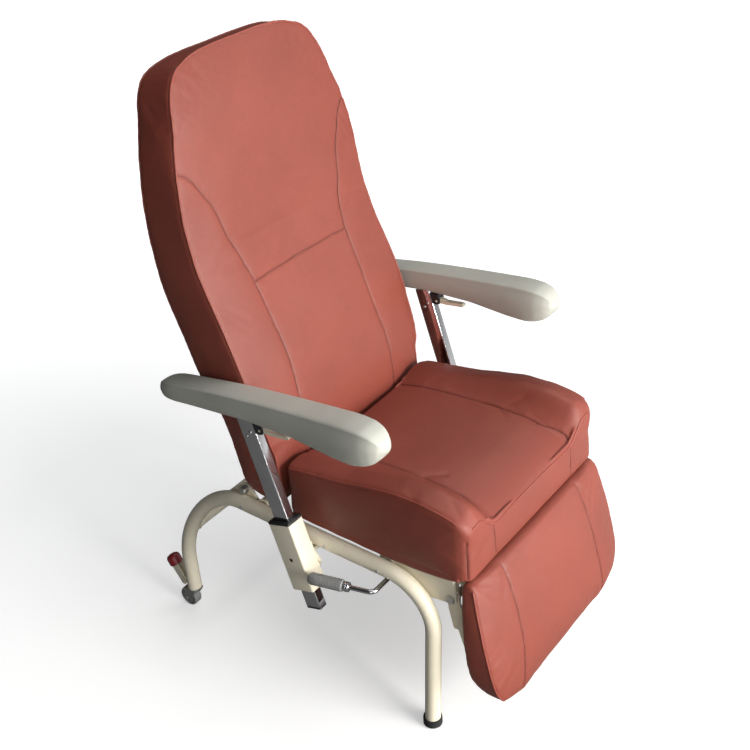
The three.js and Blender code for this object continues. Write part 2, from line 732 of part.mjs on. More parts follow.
// height release lever and the bracket it hinges on
const RELEASE_PIVOT = [36, 586];
const RELEASE_BRACKET = [[60, 601], [32, 601], [29, 590], [29, 581], [36, 578], [60, 578]];
const RELEASE_LEVER = [
  [40, 582.5], [40.5, 589.5], [30, 591.5], [14, 588.5], [-22, 592], [-27, 589.5],
  [-25, 586], [14, 581.5], [36, 581],
];
pair('release_bracket', cut(
  plate(RELEASE_BRACKET, -POST_X - 9, -POST_X + 9),
  box(-POST_X - 6, -POST_X + 6, 20, 42.8, 560, 594.6),
  cylinderX(-POST_X - 12, -POST_X + 12, ...RELEASE_PIVOT, 3, 12),
  onPost(rectBar(POST_W + 2 * GAP, POST_D + 2 * GAP, 120), -20),
), black);
pair('release_lever', union(
  plate(RELEASE_LEVER, -POST_X - 5.5, -POST_X + 5.5),
  cylinderX(-POST_X - 9, -POST_X + 9, ...RELEASE_PIVOT, 2.5, 12),
), cream);

// -------------------------------------------------------------- recline lever
const LEVER_AXIS = [-178, 309];
const LEVER_BEND = new THREE.Vector3(-274, ...LEVER_AXIS);
const LEVER_END = new THREE.Vector3(-299.5, -62, 307.5);
const GRIP_START = 58;                      // distance past the bend

// turned piece on the handle, starting the given distance past the bend
function onHandle(profile, distance) {
  const direction = LEVER_END.clone().sub(LEVER_BEND).normalize();
  const turn = new THREE.Quaternion().setFromUnitVectors(new THREE.Vector3(0, 1, 0), direction);
  const start = LEVER_BEND.clone().addScaledVector(direction, distance);
  return lathe(profile, 16).applyQuaternion(turn).translate(...start);
}

function reclineLeverRod() {
  const innerEnd = new THREE.Vector3(-24, ...LEVER_AXIS);
  const ferrule = [[0, 0], [8, 0], [9.5, 2], [9.5, 9], [7.5, 11], [0, 11]];
  return union(
    roundBar(bentPath(innerEnd, LEVER_BEND, LEVER_END, 11, 5), 4.5, 12),
    onHandle(ferrule, 46),
  );
}
part('recline_lever_rod', reclineLeverRod(), chrome);

// sleeve grip, closed beyond the end of the rod
function reclineLeverGrip() {
  const rodLength = LEVER_BEND.distanceTo(LEVER_END) - GRIP_START;
  const bore = 4.9;
  return onHandle([
    [bore, 0], [10, 0], [11.5, 2], [11.5, rodLength + 2], [9, rodLength + 7],
    [4.5, rodLength + 9.5], [0, rodLength + 10], [0, rodLength + 0.6],
    [bore, rodLength + 0.6], [bore, 0],
  ], GRIP_START);
}
part('recline_lever_grip', reclineLeverGrip(), grey);

function leverBearing(xMin) {
  const outline = [
    ...arc(LEVER_AXIS, 10, 180, 360, 6),
    [-160, 328], [-162, 334], [-190, 334], [-190, 322],
  ];
  return cut(plate(outline, xMin, xMin + 5, [roundHole(LEVER_AXIS, 5.2)]), frontCrossSpace());
}
part('lever_bearing_outer', leverBearing(-208), cream);
part('lever_bearing_inner', leverBearing(-76), cream);

// --------------------------------------------------------------- rear castors
const CASTOR_X = -FRAME_X;
const WHEEL_R = 22;
const AXLE_Y = REAR_LEG_Y + 17;             // the wheel trails behind the leg

function castorFork() {
  const cheek = [
    [AXLE_Y - 7, WHEEL_R - 5], [AXLE_Y + 7, WHEEL_R - 5], [AXLE_Y + 6, 46],
    [REAR_LEG_Y - 8, 46], [REAR_LEG_Y - 8, 42],
  ];
  return union(
    cylinderZ(46.6, 51.4, CASTOR_X, REAR_LEG_Y, 12, 16),
    box(CASTOR_X - 13, CASTOR_X + 13, REAR_LEG_Y - 10, AXLE_Y + 6, 45.4, 48.4),
    ...cheeks(cheek, CASTOR_X, 10.6, 13, roundHole([AXLE_Y, WHEEL_R], 3.4, 12)),
  );
}
pair('castor_fork', castorFork(), steel);

// axle stub, hub, recessed web and tyre: [radius, distance along the axle]
const WHEEL_PROFILE = [
  [0, -14.5], [3, -14.5], [3, -9.8], [9, -9.8], [9, -8], [18, -8], [19.5, -9.6],
  [21.2, -9], [WHEEL_R, -6.5], [WHEEL_R, 6.5], [21.2, 9], [19.5, 9.6], [18, 8], [9, 8],
  [9, 9.8], [3, 9.8], [3, 14.5], [0, 14.5],
];
pair('castor_wheel', lathe(WHEEL_PROFILE, 18)
  .rotateZ(Math.PI / 2)
  .translate(CASTOR_X, AXLE_Y, WHEEL_R), grey);

// brake pedal: channel hinged low behind the rear leg
const PEDAL_Y = REAR_LEG_Y + TUBE_R + 7;
const PEDAL_Z = 63;

function brakePedal() {
  const cheek = [
    [PEDAL_Y - 5, PEDAL_Z - 4], [PEDAL_Y - 3, PEDAL_Z - 8], [PEDAL_Y + 6, PEDAL_Z - 8],
    [PEDAL_Y + 34, 98], [PEDAL_Y + 22, 110], [PEDAL_Y + 12, 100], [PEDAL_Y - 5, PEDAL_Z + 8],
  ];
  const web = [
    [PEDAL_Y + 6, PEDAL_Z - 8], [PEDAL_Y + 34, 98], [PEDAL_Y + 32, 100.2],
    [PEDAL_Y + 4, PEDAL_Z - 5.8],
  ];
  return union(
    ...cheeks(cheek, CASTOR_X, 6.4, 9, roundHole([PEDAL_Y, PEDAL_Z], 3.2, 12)),
    plate(web, CASTOR_X - 9, CASTOR_X + 9),
  );
}
pair('brake_pedal', brakePedal(), cream);

// cap on the pedal's tip, hollowed to fit over the channel
const CAP_PROFILE = [[0, 0], [11.5, 0], [13, 1.5], [13, 11], [11, 15], [6, 17.5], [0, 18]];
function pedalCap() {
  const tilt = -32 * RAD;
  const base = [CASTOR_X, PEDAL_Y + 28.5, 105.5];
  const cap = lathe(CAP_PROFILE, 14).rotateX(Math.PI / 2).rotateX(tilt).translate(...base);
  const hollow = box(-9.4, 9.4, -8.6, 8.6, -6, 6.2).rotateX(tilt - 0.12).translate(...base);
  return cut(cap, hollow);
}
pair('pedal_cap', pedalCap(), red);

// lug on the leg that carries the pedal pin
const LUG_HALF_W = 5.2;
const LUG_R = 5.5;
const lugBar = (half, radius) =>
  cylinderX(CASTOR_X - half, CASTOR_X + half, PEDAL_Y, PEDAL_Z, radius, 12);
pair('pedal_lug', union(
  lugBar(LUG_HALF_W, LUG_R),
  box(CASTOR_X - LUG_HALF_W, CASTOR_X + LUG_HALF_W, REAR_LEG_Y + TUBE_R + GAP, PEDAL_Y,
    PEDAL_Z - LUG_R, PEDAL_Z + LUG_R),
  lugBar(10.6, 2.6),
), cream);

export default group;
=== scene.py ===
"""A reclining chair: three vinyl cushions on a cream tube frame, with armrests on leaning posts,
two rubber front feet, two rear castors with red pedal tips and a recline lever on the right.

The chair's own numbers are millimetres in a design frame: x = 0 is the middle plane with the
sitter's right at -x, the front is at -y, the rear at +y, and the floor at z = 0. to_row() moves
them into the row frame in metres. Cushion covers are worked on in metres once meshed.
"""
import json
import math
import bpy
import bmesh
import numpy as np
from mathutils import Vector, Matrix
from mathutils.bvhtree import BVHTree
from mathutils.kdtree import KDTree


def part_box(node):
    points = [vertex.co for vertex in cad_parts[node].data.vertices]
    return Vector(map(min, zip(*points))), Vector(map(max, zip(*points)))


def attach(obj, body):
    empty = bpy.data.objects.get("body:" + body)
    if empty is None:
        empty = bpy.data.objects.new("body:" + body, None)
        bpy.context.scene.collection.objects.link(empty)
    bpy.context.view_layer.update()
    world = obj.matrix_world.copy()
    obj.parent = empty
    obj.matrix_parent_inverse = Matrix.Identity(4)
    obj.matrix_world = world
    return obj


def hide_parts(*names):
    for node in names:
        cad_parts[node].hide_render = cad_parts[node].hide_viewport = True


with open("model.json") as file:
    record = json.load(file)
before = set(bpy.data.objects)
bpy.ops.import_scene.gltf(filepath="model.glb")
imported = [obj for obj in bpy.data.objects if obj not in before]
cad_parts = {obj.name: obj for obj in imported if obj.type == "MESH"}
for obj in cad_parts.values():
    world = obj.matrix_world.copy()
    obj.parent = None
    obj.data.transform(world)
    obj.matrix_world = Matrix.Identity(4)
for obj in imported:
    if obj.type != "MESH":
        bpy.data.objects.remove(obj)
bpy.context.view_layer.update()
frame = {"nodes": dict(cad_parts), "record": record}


scene = bpy.context.scene

MM = 0.001
FOOT_Y = -265.0      # centre of the front feet in the design frame
RAIL_X = 234.7       # centre plane of each side tube
SIDES = (("right", -1), ("left", 1))
_low, _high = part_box("front_foot_right")
SHIFT_Y = (_low.y + _high.y) / 2 * 1000 - FOOT_Y


def to_row(points):
    """design millimetres to row-frame metres"""
    return (np.array(points, float) + np.array([0, SHIFT_Y, 0])) * MM


# ------------------------------------------------------------------ tables
# backrest at each height: (z, half width), (z, y of the front), (z, y of the rear)
BACK_HALF = [
    (370, 222), (400, 227), (480, 231), (520, 238), (560, 241.5), (640, 245), (700, 244),
    (760, 242.5), (840, 243.5), (900, 243), (940, 240.5), (980, 235), (1020, 226),
    (1060, 213.5), (1080, 208), (1100, 202.5), (1120, 194.5), (1140, 183), (1155, 168),
    (1166, 146), (1173, 119), (1178, 78), (1180, 40)]
BACK_FRONT = [
    (370, 66), (400, 60), (440, 58), (480, 59), (520, 63.6), (560, 73.4), (600, 84.6),
    (640, 98), (680, 113), (720, 129.5), (760, 147.4), (800, 163.4), (840, 177.4),
    (880, 185.4), (920, 192), (960, 196.5), (1000, 203), (1040, 210.5), (1080, 217.6),
    (1120, 228), (1155, 237), (1168, 241), (1180, 247)]
BACK_REAR = [
    (370, 108), (377, 130), (392, 146), (438, 157), (480, 163), (520, 166), (560, 177),
    (600, 198), (640, 215), (680, 229), (720, 246), (760, 262), (800, 272), (840, 278),
    (880, 283), (920, 285.5), (960, 288), (1000, 291), (1040, 296), (1080, 300),
    (1120, 305), (1150, 307), (1163, 306), (1172, 302), (1177, 296), (1180, 286)]
# seat from front to rear: (y, z of the raised sides), (y, z of the middle), (y, half width)
SEAT_SIDE = [
    (-348, 470), (-342, 481), (-334, 489), (-318, 497), (-294, 503), (-250, 508.5),
    (-214, 509), (-150, 501.5), (-91, 491), (0, 479), (48, 471)]
SEAT_MID = [
    (-348, 436), (-342, 443), (-334, 449), (-318, 457), (-294, 464.5), (-250, 471),
    (-200, 473), (-100, 470), (0, 462), (48, 456)]
SEAT_HALF = [
    (-348, 210), (-344, 218), (-336, 224.5), (-322, 228), (-290, 228.5), (30, 227.5),
    (42, 223), (48, 214)]
# legrest at each height: (z, half width), (z, y of the front), (z, y of the rear)
LEG_HALF = [
    (81, 64), (85, 112), (91, 154), (101, 189), (113, 210), (127, 222), (144, 230),
    (165, 235.5), (205, 238), (240, 237.5), (280, 234.5), (310, 231), (340, 226.5), (364, 221)]
LEG_FRONT = [
    (81, -402), (92, -413), (120, -417), (160, -412), (205, -403), (265, -389),
    (325, -373), (350, -366), (364, -358)]
LEG_REAR = [
    (81, -396), (92, -390), (112, -379), (140, -362), (165, -349), (205, -342),
    (262, -337), (310, -333.4), (356, -330.6), (364, -335)]
# armrest pad from front to rear: (y, z) of top and bottom, (y, half width) at top and mid height
PAD_TOP = [
    (-236, 645), (-228, 657), (-214, 667), (-195, 672), (-170, 673), (-120, 670), (-33, 663),
    (86, 651), (180, 638), (226, 631), (248, 626.5), (261, 621), (268, 615), (270.5, 609)]
PAD_BOTTOM = [
    (-236, 636), (-228, 623), (-214, 611), (-195, 603.5), (-176, 600.5), (-150, 601),
    (-94, 605), (-48, 609), (39, 608.5), (119, 602), (180, 597), (240, 592), (258, 594),
    (268, 599.5), (270.5, 605)]
PAD_HALF_TOP = [
    (-236, 8), (-228, 17), (-214, 22.5), (-195, 25.5), (-170, 26.5), (-60, 25.5), (120, 24),
    (226, 23), (246, 20), (261, 14), (268, 8.5), (270.5, 3)]
PAD_HALF_MID = [
    (-236, 10), (-228, 21), (-214, 29), (-195, 33.5), (-170, 35), (-100, 32), (0, 29.5),
    (120, 28), (226, 27), (246, 24.5), (261, 17.5), (268, 11), (270.5, 4)]


def monotone(table, x):
    """smooth interpolation through a table without overshoot"""
    knots, values = np.array(table, float).T
    steps = np.diff(knots)
    rises = np.diff(values) / steps
    before, after = rises[:-1], rises[1:]
    slopes = np.zeros(len(knots))
    slopes[1:-1] = np.where(before * after > 0,
                            2 * before * after / (before + after + 1e-12), 0)
    slopes[0], slopes[-1] = rises[0], rises[-1]
    x = np.clip(np.asarray(x, float), knots[0], knots[-1])
    i = np.clip(np.searchsorted(knots, x, side="right") - 1, 0, len(knots) - 2)
    t = (x - knots[i]) / steps[i]
    t2, t3 = t * t, t * t * t
    return ((2 * t3 - 3 * t2 + 1) * values[i] + (t3 - 2 * t2 + t) * steps[i] * slopes[i]
            + (3 * t2 - 2 * t3) * values[i + 1] + (t3 - t2) * steps[i] * slopes[i + 1])


def value_at(table, x):
    return float(monotone(table, x))


# --------------------------------------------------------------- materials
def feed(tree, socket, value):
    """links a socket to another, or sets its value; a plain colour gets full alpha"""
    if isinstance(value, bpy.types.NodeSocket):
        tree.links.new(value, socket)
    elif socket.type == "RGBA" and len(value) == 3:
        socket.default_value = (*value, 1.0)
    else:
        socket.default_value = value


def add_node(tree, kind, settings=None, sockets=None, **inputs):
    """a node with its settings, its inputs by number (sockets) and by name (inputs)"""
    node = tree.nodes.new(kind)
    for key, value in (settings or {}).items():
        setattr(node, key, value)
    for index, value in (sockets or {}).items():
        feed(tree, node.inputs[index], value)
    for key, value in inputs.items():
        feed(tree, node.inputs[key.replace("_", " ")], value)
    return node


class Material:
    """a procedural material built node by node, in object coordinates (metres)"""

    def __init__(self, name):
        self.material = bpy.data.materials.new(name)
        self.material.use_nodes = True
        self.tree = self.material.node_tree
        self.shader = self.tree.nodes["Principled BSDF"]
        self.coords = self.node("ShaderNodeTexCoord").outputs["Object"]

    def node(self, kind, settings=None, sockets=None, **inputs):
        return add_node(self.tree, kind, settings, sockets, **inputs)

    def stretched(self, *scale):
        return self.node("ShaderNodeMapping", Vector=self.coords, Scale=scale).outputs[0]

    def noise(self, scale, detail=3.0, rough=0.5, vector=None, output="Fac"):
        return self.node("ShaderNodeTexNoise", Vector=vector or self.coords, Scale=scale,
                         Detail=detail, Roughness=rough).outputs[output]

    def cells(self, scale, vector=None):
        """distance to the edge of the nearest cell"""
        return self.node("ShaderNodeTexVoronoi", {"feature": "DISTANCE_TO_EDGE"},
                         Vector=vector or self.coords, Scale=scale).outputs["Distance"]

    def wave(self, direction, vector, **inputs):
        return self.node("ShaderNodeTexWave",
                         {"wave_type": "BANDS", "bands_direction": direction},
                         Vector=vector, **inputs).outputs["Fac"]

    def span(self, value, over=(0.3, 0.7), to=(0.0, 1.0)):
        """maps the first range onto the second"""
        return self.node("ShaderNodeMapRange", Value=value, From_Min=over[0], From_Max=over[1],
                         To_Min=to[0], To_Max=to[1]).outputs[0]

    def mix(self, factor, first, second, blend="MIX"):
        return self.node("ShaderNodeMix", {"data_type": "RGBA", "blend_type": blend},
                         {0: factor, 6: first, 7: second}).outputs[2]

    def add(self, first, second):
        return self.node("ShaderNodeMath", {"operation": "ADD"},
                         {0: first, 1: second}).outputs[0]

    def edges(self):
        """pointiness: above 0.5 on raised edges, below it in hollows"""
        return self.node("ShaderNodeNewGeometry").outputs["Pointiness"]

    def bump(self, height, distance, strength=0.5, under=None):
        """a bump, laid over another one where `under` is given"""
        more = {} if under is None else {"Normal": under}
        return self.node("ShaderNodeBump", Height=height, Distance=distance,
                         Strength=strength, **more).outputs[0]

    def finish(self, **inputs):
        for key, value in inputs.items():
            feed(self.tree, self.shader.inputs[key.replace("_", " ")], value)
        return self.material


def shade(color, factor):
    return tuple(min(1.0, value * factor) for value in color)


def vinyl(name, base, rough=0.40):
    """pebbled vinyl: painted shade in its grooves and hollows, paler on raised edges"""
    m = Material(name)
    wobble = m.noise(scale=420.0, detail=2.0, output="Color")
    warped = m.mix(0.0016, m.coords, wobble, "ADD")
    pebble = m.cells(scale=430.0, vector=warped)
    fine = m.cells(scale=1150.0, vector=warped)
    broad = m.noise(scale=5.5, detail=4.0, rough=0.55)
    mottle = m.noise(scale=70.0, detail=4.0, rough=0.6)
    edge = m.edges()
    color = m.mix(m.span(broad), shade(base, 0.90), shade(base, 1.09))
    color = m.mix(m.span(mottle, over=(0.35, 0.7), to=(0.0, 0.22)), color, shade(base, 0.78))
    # painted shade: the grooves between the pebbles are darkened to 0.55 of the base
    color = m.mix(m.span(pebble, over=(0.0, 0.12), to=(0.30, 0.0)), color, shade(base, 0.55))
    worn = tuple(min(1, value * 1.25 + 0.02) for value in base)
    color = m.mix(m.span(edge, over=(0.515, 0.58), to=(0.0, 0.30)), color, worn)
    # painted shade: hollows are darkened to 0.38 of the base
    color = m.mix(m.span(edge, over=(0.49, 0.42), to=(0.0, 0.55)), color, shade(base, 0.38))
    roughness = m.add(m.span(broad, to=(rough - 0.05, rough + 0.06)),
                      m.span(pebble, over=(0.0, 0.2), to=(0.10, 0.0)))
    bump = m.bump(m.noise(scale=38.0), distance=0.0012, strength=0.35)
    bump = m.bump(m.span(pebble, over=(0.0, 0.22)), distance=0.00022, strength=0.55, under=bump)
    bump = m.bump(m.span(fine, over=(0.0, 0.25)), distance=0.00009, under=bump)
    bump = m.bump(m.noise(scale=2600.0, detail=2.0), distance=0.00005, under=bump)
    return m.finish(Base_Color=color, Roughness=roughness, Normal=bump, Coat_Weight=0.03,
                    Coat_Roughness=0.30, IOR=1.42)


def paint(name, base, rough=0.34, dirt_and_shade=(0.40, 0.34, 0.25), grime=0.12, edges=True):
    """powder coat with orange peel; grime in blots, and painted shade in the hollows if edges is
    set
    """
    m = Material(name)
    blot = m.noise(scale=55.0, detail=5.0, rough=0.65)
    color = m.mix(m.span(m.noise(scale=9.0, detail=4.0, rough=0.6)),
                  shade(base, 0.95), shade(base, 1.03))
    color = m.mix(m.span(blot, over=(0.56, 0.74), to=(0.0, grime)), color, dirt_and_shade)
    if edges:
        # painted shade: the hollows are darkened towards the same colour as the grime
        color = m.mix(m.span(m.edges(), over=(0.485, 0.40), to=(0.0, 0.45)), color, dirt_and_shade)
    peel = m.bump(m.noise(scale=620.0), distance=0.00016)
    bump = m.bump(m.noise(scale=1900.0, detail=2.0), distance=0.00004, under=peel)
    return m.finish(Base_Color=color, Normal=bump, Coat_Weight=0.25, Coat_Roughness=0.18,
                    Roughness=m.span(blot, to=(rough - 0.05, rough + 0.12)))


def metal(name, base, rough, streak, strength):
    """brushed and smudged; streak is the brushing's frequency along x, y and z"""
    m = Material(name)
    brushed = m.noise(scale=1.0, rough=0.6, vector=m.stretched(*streak))
    smudge = m.noise(scale=34.0, detail=4.0, rough=0.65)
    color = m.mix(m.span(smudge, over=(0.45, 0.7), to=(0.0, 0.35)), base, shade(base, 0.72))
    # painted highlight: raised edges are lightened to 1.2 of the base
    color = m.mix(m.span(m.edges(), over=(0.53, 0.60), to=(0.0, 0.5)), color, shade(base, 1.2))
    roughness = m.add(m.span(smudge, over=(0.35, 0.75), to=(rough * 0.7, rough * 1.9)),
                      m.span(brushed, to=(0.0, 0.03)))
    return m.finish(Base_Color=color, Metallic=1.0, Roughness=roughness,
                    Normal=m.bump(brushed, distance=0.00003, strength=strength))


def plastic(name, base, rough, grain, depth, scuff, light, coat=0.0):
    """stippled plastic or rubber; grain and depth size the stipple, light colours the scuffs"""
    m = Material(name)
    stipple = m.cells(scale=grain)
    broad = m.noise(scale=14.0, detail=4.0, rough=0.6)
    marks = m.noise(scale=1.0, detail=4.0, rough=0.7, vector=m.stretched(120.0, 16.0, 90.0))
    color = m.mix(m.span(broad), shade(base, 0.93), shade(base, 1.05))
    color = m.mix(m.span(marks, over=(0.60, 0.76), to=(0.0, scuff)), color, light)
    # painted shade: hollows are darkened to 0.4 of the base
    color = m.mix(m.span(m.edges(), over=(0.485, 0.41), to=(0.0, 0.5)), color, shade(base, 0.4))
    bump = m.bump(m.span(stipple, over=(0.0, 0.3)), distance=depth)
    bump = m.bump(m.noise(scale=grain * 1.6, detail=2.0), distance=depth * 0.4, under=bump)
    return m.finish(Base_Color=color, Normal=bump, Coat_Weight=coat, Coat_Roughness=0.15,
                    Roughness=m.span(broad, to=(rough - 0.06, rough + 0.08)))


def plywood(name, base):
    m = Material(name)
    rings = m.wave("X", m.stretched(1.0, 0.12, 0.12), Scale=26.0, Distortion=9.0, Detail=3.0,
                   Detail_Scale=1.6)
    fibre = m.noise(scale=1.0, detail=4.0, rough=0.7, vector=m.stretched(900.0, 26.0, 26.0))
    color = m.mix(m.span(rings, over=(0.1, 0.9), to=(0.0, 0.6)), base, shade(base, 0.62))
    color = m.mix(m.span(fibre, over=(0.5, 0.75), to=(0.0, 0.45)), color, shade(base, 0.45))
    return m.finish(Base_Color=color, Roughness=m.span(fibre, to=(0.6, 0.8)),
                    Normal=m.bump(fibre, distance=0.00015))


def thread(name, base):
    m = Material(name)
    twist = m.wave("DIAGONAL", m.coords, Scale=900.0, Distortion=1.5)
    return m.finish(Base_Color=m.mix(twist, shade(base, 0.7), shade(base, 1.15)),
                    Roughness=0.62, Normal=m.bump(twist, distance=0.0001))


# the keys include the material slot names of the record
VINYL = (0.235, 0.0515, 0.033)
FINISHES = {
    "upholstery": vinyl("terracotta_vinyl", VINYL),
    # the welt is the cover's vinyl painted 10% lighter, a painted highlight on the raised roll
    "welt": vinyl("terracotta_welt_painted_highlight", shade(VINYL, 1.10), rough=0.36),
    "rear_vinyl": vinyl("terracotta_rear_vinyl", shade(VINYL, 0.86), rough=0.46),
    # painted shadow along the seams, drawn as a near-black thread
    "seam_shadow": thread("painted_seam_shadow", (0.075, 0.018, 0.013)),
    "thread": thread("dark_terracotta_thread", (0.20, 0.045, 0.032)),
    "frame_paint": paint("cream_powder_coat", (0.86, 0.79, 0.62)),
    # a darker copy of the frame's cream for the CAD plates under the seat: painted shade
    "shaded_plate_paint": paint("cream_powder_coat_plate_painted_shade", (0.80, 0.73, 0.57), rough=0.40,
                         edges=False),
    "chrome": metal("chrome_plate", (0.66, 0.66, 0.68), rough=0.09,
                    streak=(400.0, 400.0, 12.0), strength=0.10),
    "zinc_steel": metal("zinc_plate", (0.62, 0.62, 0.60), rough=0.30,
                        streak=(60.0, 400.0, 400.0), strength=0.2),
    "black_paint": paint("satin_black_paint", (0.018, 0.018, 0.019), rough=0.36,
                         dirt_and_shade=(0.10, 0.09, 0.08), grime=0.25),
    "black_plastic": plastic("black_nylon", (0.018, 0.018, 0.020), rough=0.46, grain=1500.0,
                             depth=0.00010, scuff=0.10, light=(0.12, 0.12, 0.12)),
    "rubber": plastic("black_rubber", (0.014, 0.014, 0.014), rough=0.68, grain=900.0,
                      depth=0.00020, scuff=0.22, light=(0.16, 0.15, 0.13)),
    "armrest_skin": plastic("armrest_skin", (0.44, 0.44, 0.385), rough=0.50, grain=620.0,
                            depth=0.00018, scuff=0.10, light=(0.42, 0.40, 0.35), coat=0.05),
    "grey_plastic": plastic("grey_plastic", (0.23, 0.23, 0.225), rough=0.48, grain=1200.0,
                            depth=0.00012, scuff=0.22, light=(0.5, 0.5, 0.5)),
    "red_plastic": plastic("red_plastic", (0.22, 0.010, 0.016), rough=0.34, grain=1300.0,
                           depth=0.00008, scuff=0.18, light=(0.55, 0.25, 0.22), coat=0.3),
    "plywood": plywood("beech_ply", (0.58, 0.40, 0.23)),
}


# ----------------------------------------------------------- mesh building
# a "part" is a pair: vertices and faces
def add_object(name, data):
    obj = bpy.data.objects.new(name, data)
    scene.collection.objects.link(obj)
    return obj


def clean_mesh(name, part):
    """a mesh with doubled vertices joined and its normals facing out"""
    verts, faces = part
    mesh = bpy.data.meshes.new(name)
    mesh.from_pydata([tuple(v) for v in verts], [], [tuple(int(i) for i in f) for f in faces])
    bm = bmesh.new()
    bm.from_mesh(mesh)
    bmesh.ops.remove_doubles(bm, verts=bm.verts, dist=1e-6)
    bmesh.ops.recalc_face_normals(bm, faces=bm.faces)
    bm.to_mesh(mesh)
    bm.free()
    return mesh


def metre_piece(name, part, finish, body, replaces=None, slot=None, sharp=35.0):
    """a smooth-shaded object from a part in row-frame metres; its material slot holds its finish,
    and the slot argument is not used
    """
    mesh = clean_mesh(name, part)
    mesh.materials.append(FINISHES[finish])
    mesh.polygons.foreach_set("use_smooth", [True] * len(mesh.polygons))
    mesh.set_sharp_from_angle(angle=math.radians(sharp))
    obj = add_object(name, mesh)
    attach(obj, body)
    if replaces:
        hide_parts(replaces)


def piece(name, part, finish, body, replaces=None, **options):
    """the same from a part in design millimetres"""
    metre_piece(name, (to_row(part[0]), part[1]), finish, body, replaces, **options)


def merge(*parts):
    all_verts, all_faces, count = [], [], 0
    for verts, faces in parts:
        all_verts.append(np.asarray(verts, float))
        all_faces += [tuple(i + count for i in face) for face in faces]
        count += len(verts)
    return np.vstack(all_verts), all_faces


def skin(rings, closed=False):
    """quads through rings of equal count; fans close the ends unless the path is closed"""
    count, size = len(rings), len(rings[0])
    verts = [point for ring in rings for point in ring]
    faces = []
    for k in range(count if closed else count - 1):
        this, following = k * size, ((k + 1) % count) * size
        for i in range(size):
            j = (i + 1) % size
            faces.append((this + i, this + j, following + j, following + i))
    if not closed:
        for k, flip in ((0, True), (count - 1, False)):
            verts.append(np.mean(np.array(rings[k]), 0))
            hub = len(verts) - 1
            for i in range(size):
                a, b = k * size + i, k * size + (i + 1) % size
                faces.append((hub, b, a) if flip else (hub, a, b))
    return np.array(verts, float), faces


def unit(vector):
    return vector / np.linalg.norm(vector)


def perpendicular(axis):
    return unit(np.cross(axis, [0.0, 0, 1] if abs(axis[2]) < 0.9 else [1.0, 0, 0]))


def unit_tangents(points):
    tangents = np.gradient(points, axis=0)
    return tangents / (np.linalg.norm(tangents, axis=1)[:, None] + 1e-12)


def circle(centre, radius, side, other, segments):
    return [centre + radius * (math.cos(angle) * side + math.sin(angle) * other)
            for angle in np.linspace(0, 2 * math.pi, segments, endpoint=False)]


def tube(path, radius, segments, ease=0.0, closed=False):
    """round bar along a path; radius is one number or one per point; ease rounds the ends"""
    points = np.array(path, float)
    if closed:
        tangents = np.roll(points, -1, 0) - np.roll(points, 1, 0)
        tangents /= np.linalg.norm(tangents, axis=1)[:, None] + 1e-12
    else:
        tangents = unit_tangents(points)
    radii = np.broadcast_to(np.asarray(radius, float), len(points))
    # the cross directions are carried along the path without twist
    side, sides, others = perpendicular(tangents[0]), [], []
    for tangent in tangents:
        side = side - tangent * (side @ tangent)
        side /= np.linalg.norm(side) + 1e-12
        sides.append(side.copy())
        others.append(np.cross(tangent, side))

    def eased_end(k, inward, degrees):
        rings = []
        for angle in map(math.radians, degrees):
            centre = points[k] + inward * tangents[k] * ease * (1 - math.sin(angle))
            rings.append(circle(centre, radii[k] - ease * (1 - math.cos(angle)),
                                sides[k], others[k], segments))
        return rings

    rings = []
    for k, point in enumerate(points):
        if ease and min(np.linalg.norm(point - points[0]),
                        np.linalg.norm(point - points[-1])) < ease:
            continue
        rings.append(circle(point, radii[k], sides[k], others[k], segments))
    if ease:
        rings = (eased_end(0, 1, (80, 60, 40, 20)) + rings
                 + eased_end(-1, -1, (20, 40, 60, 80)))
    return skin(rings, closed)


def resample(points, step):
    points = np.array(points, float)
    along = np.r_[0, np.cumsum(np.linalg.norm(np.diff(points, axis=0), axis=1))]
    count = max(2, int(round(along[-1] / step)) + 1)
    stations = np.linspace(0, along[-1], count)
    return np.stack([np.interp(stations, along, points[:, i]) for i in range(3)], 1)


def relax(points, times=2):
    points = np.array(points, float)
    for _ in range(times):
        eased = points.copy()
        eased[1:-1] = 0.25 * points[:-2] + 0.5 * points[1:-1] + 0.25 * points[2:]
        points = eased
    return points


ON_AXIS = 0.0001     # radius at which a turned profile starts and ends


def soft_profile(profile, radius, steps):
    """rounds every corner of a profile"""
    points = [np.array(point, float) for point in profile]
    soft = [points[0]]
    for before, corner, after in zip(points, points[1:], points[2:]):
        back, ahead = before - corner, after - corner
        back_length, ahead_length = np.linalg.norm(back), np.linalg.norm(ahead)
        reach = min(radius, back_length * 0.45, ahead_length * 0.45)
        start, end = corner + back / back_length * reach, corner + ahead / ahead_length * reach
        for k in range(steps + 1):
            t = k / steps
            soft.append((1 - t) ** 2 * start + 2 * t * (1 - t) * corner + t * t * end)
    soft.append(points[-1])
    return soft


def lathe(profile, origin, axis, segments, ease=0.0, steps=3):
    """turns a profile of (radius, height along axis); ease rounds its corners in steps"""
    if ease:
        profile = soft_profile(profile, ease, steps)
    origin, axis = np.array(origin, float), unit(np.array(axis, float))
    side = perpendicular(axis)
    other = np.cross(axis, side)
    return skin([circle(origin + axis * height, max(radius, 1e-5), side, other, segments)
                 for radius, height in profile])


def rounded_rect(half_width, half_depth, radius, steps):
    outline = []
    x, y = half_width - radius, half_depth - radius
    for centre_x, centre_y, start in ((x, y, 0), (-x, y, 90), (-x, -y, 180), (x, -y, 270)):
        for i in range(steps + 1):
            angle = math.radians(start + 90 * i / steps)
            outline.append((centre_x + radius * math.cos(angle),
                            centre_y + radius * math.sin(angle)))
    return outline


